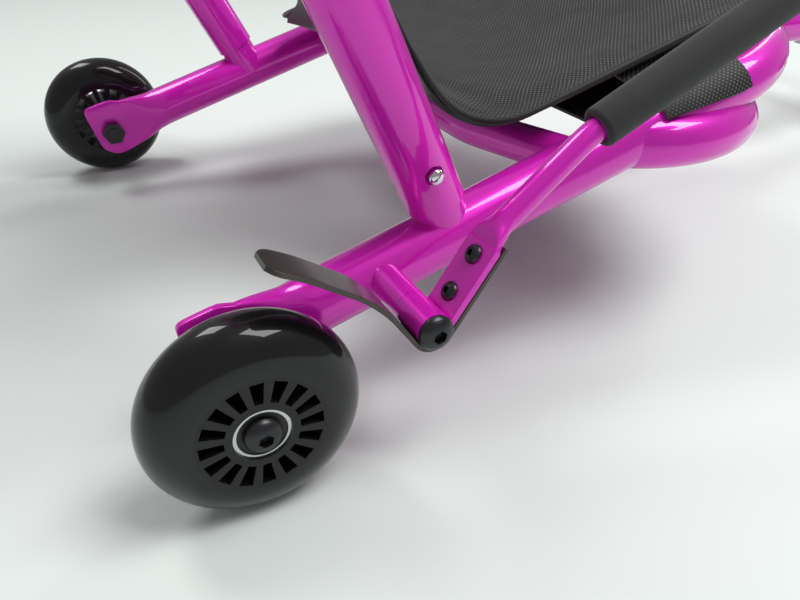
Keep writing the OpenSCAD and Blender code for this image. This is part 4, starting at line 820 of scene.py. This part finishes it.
# Mesh cover: from a lip under the seat's rim a nearly straight run, then an arc over the arm. The sheet
# is closed round its edges.
def buildCover(name, side):
    inner = chassis["armTube"] / 2 + cover["gap"]
    outer = inner + cover["thick"]
    columns, straightColumns = 36, 8
    share, rows = np.linspace(0, 1, columns), np.linspace(0, 1, 26)
    turned = np.where(np.arange(columns) < straightColumns, 0, share)
    spread = cover["arcFrom"] + (coverLowest(outer, rows)[:, None] - cover["arcFrom"]) * turned
    lead = (cover["innerFrom"] - cover["arcFrom"]) * (1 - share)
    ramp = np.clip(share * columns / straightColumns, 0, 1)[:, None]
    lipSide = seat["half"] * seat["shellShare"] - cover["lipIn"] - chassis["armSide"]
    lipUp = seat["rim"] - seat["shellBottom"] - cover["lipUnder"]
    crown = np.sin(ramp * math.pi) * np.array([0.0, cover["crown"]])
    outerArc = np.array([lipSide, lipUp]) * (1 - ramp) + outer * heading(spread) * ramp + crown
    innerArc = (np.array([lipSide, lipUp - cover["lipThick"]]) * (1 - ramp)
                + inner * heading(spread + lead) * ramp)
    upper, lower = spreadAlong(outerArc, rows, side), spreadAlong(innerArc, rows, side)
    grid = closedSheet(upper, lower, bulge=0.8)
    return gridPiece(name, fromArms(grid), closeColumns=True, fillEnds=True, uv=sheetLengths(upper), sharp=60)


finishPiece(buildCover("armCoverRight", -1), "seat_mesh", "frame", "arm_cover_right")
finishPiece(buildCover("armCoverLeft", 1), "seat_mesh", "frame", "arm_cover_left")
print("piping and arm covers made")

# Floor, light and camera

# The floor's faint green tint is painted against the pink light that the magenta paint bounces on to it
studio = {"floor": "#E0E7E3", "reach": 8.0, "horizon": 0.38, "zenith": 0.4}
floorEdge = np.array([-studio["reach"], studio["reach"]])
floorPoints = np.stack(np.meshgrid(floorEdge, floorEdge, [0.0]), -1)[:, :, 0]
floor = gridPiece("floor", floorPoints)
floorPaint = newMaterial("paintedStudioFloor", Roughness=0.75, Base_Color=colour(studio["floor"]))[0]
floor.data.materials.append(floorPaint)

# Soft light from all round, a little stronger from above
world = bpy.data.worlds.new("studioAir")
scene.world = world
world.use_nodes = True
airTree = world.node_tree
airTree.nodes.clear()
direction = addNode(airTree, "TexCoord").outputs["Generated"]
lookUp = addNode(airTree, "SeparateXYZ", {0: direction}).outputs[2]
airLevel = addNode(airTree, "MapRange", {"Value": lookUp, "To Min": studio["horizon"],
                                         "To Max": studio["zenith"]})
air = addNode(airTree, "Background", {"Strength": airLevel.outputs[0]})
addNode(airTree, "OutputWorld", {"Surface": air.outputs[0]})

# Name, place, point that it faces, width, height and power of each softbox
softboxes = [
    ("overheadSoftbox", (0.5, -0.7, 2.0), (-0.2, 0, 0), 1.1, 1.1, 36),
    ("rearSoftbox", (-0.85, 0.95, 1.8), (-0.3, -0.1, 0), 0.5, 0.9, 12),
    ("frontStrip", (1.6, 0.6, 1.5), (-0.2, 0, 0.1), 0.25, 1.8, 9),
]
for name, place, target, width, height, power in softboxes:
    lamp = bpy.data.lights.new(name, "AREA")
    lamp.shape, lamp.size, lamp.size_y, lamp.energy = "RECTANGLE", width, height, power
    holder = bpy.data.objects.new(name, lamp)
    scene.collection.objects.link(holder)
    aim = unit(np.array(target, float) - np.array(place, float))
    holder.location = place
    holder.rotation_euler = (math.acos(-aim[2]), 0, math.atan2(aim[1], aim[0]) - math.pi / 2)

# The photograph's camera: place in metres, heading from straight ahead and tilt down in degrees
view = {"place": (-0.47965, -0.4681, 0.2591), "heading": 63.18, "down": 32.56, "focalPixels": 715.9,
        "pixelsWide": 800}
camera = bpy.data.cameras.new("photoCamera")
camera.sensor_width = 36
camera.lens = view["focalPixels"] * camera.sensor_width / view["pixelsWide"]
camera.clip_start = 0.01
cameraHolder = bpy.data.objects.new("photoCamera", camera)
scene.collection.objects.link(cameraHolder)
cameraHolder.location = view["place"]
cameraHolder.rotation_euler = (math.radians(90 - view["down"]), 0, math.radians(view["heading"] - 90))
scene.camera = cameraHolder
scene.view_settings.view_transform = "Standard"
print("stage and camera ready")
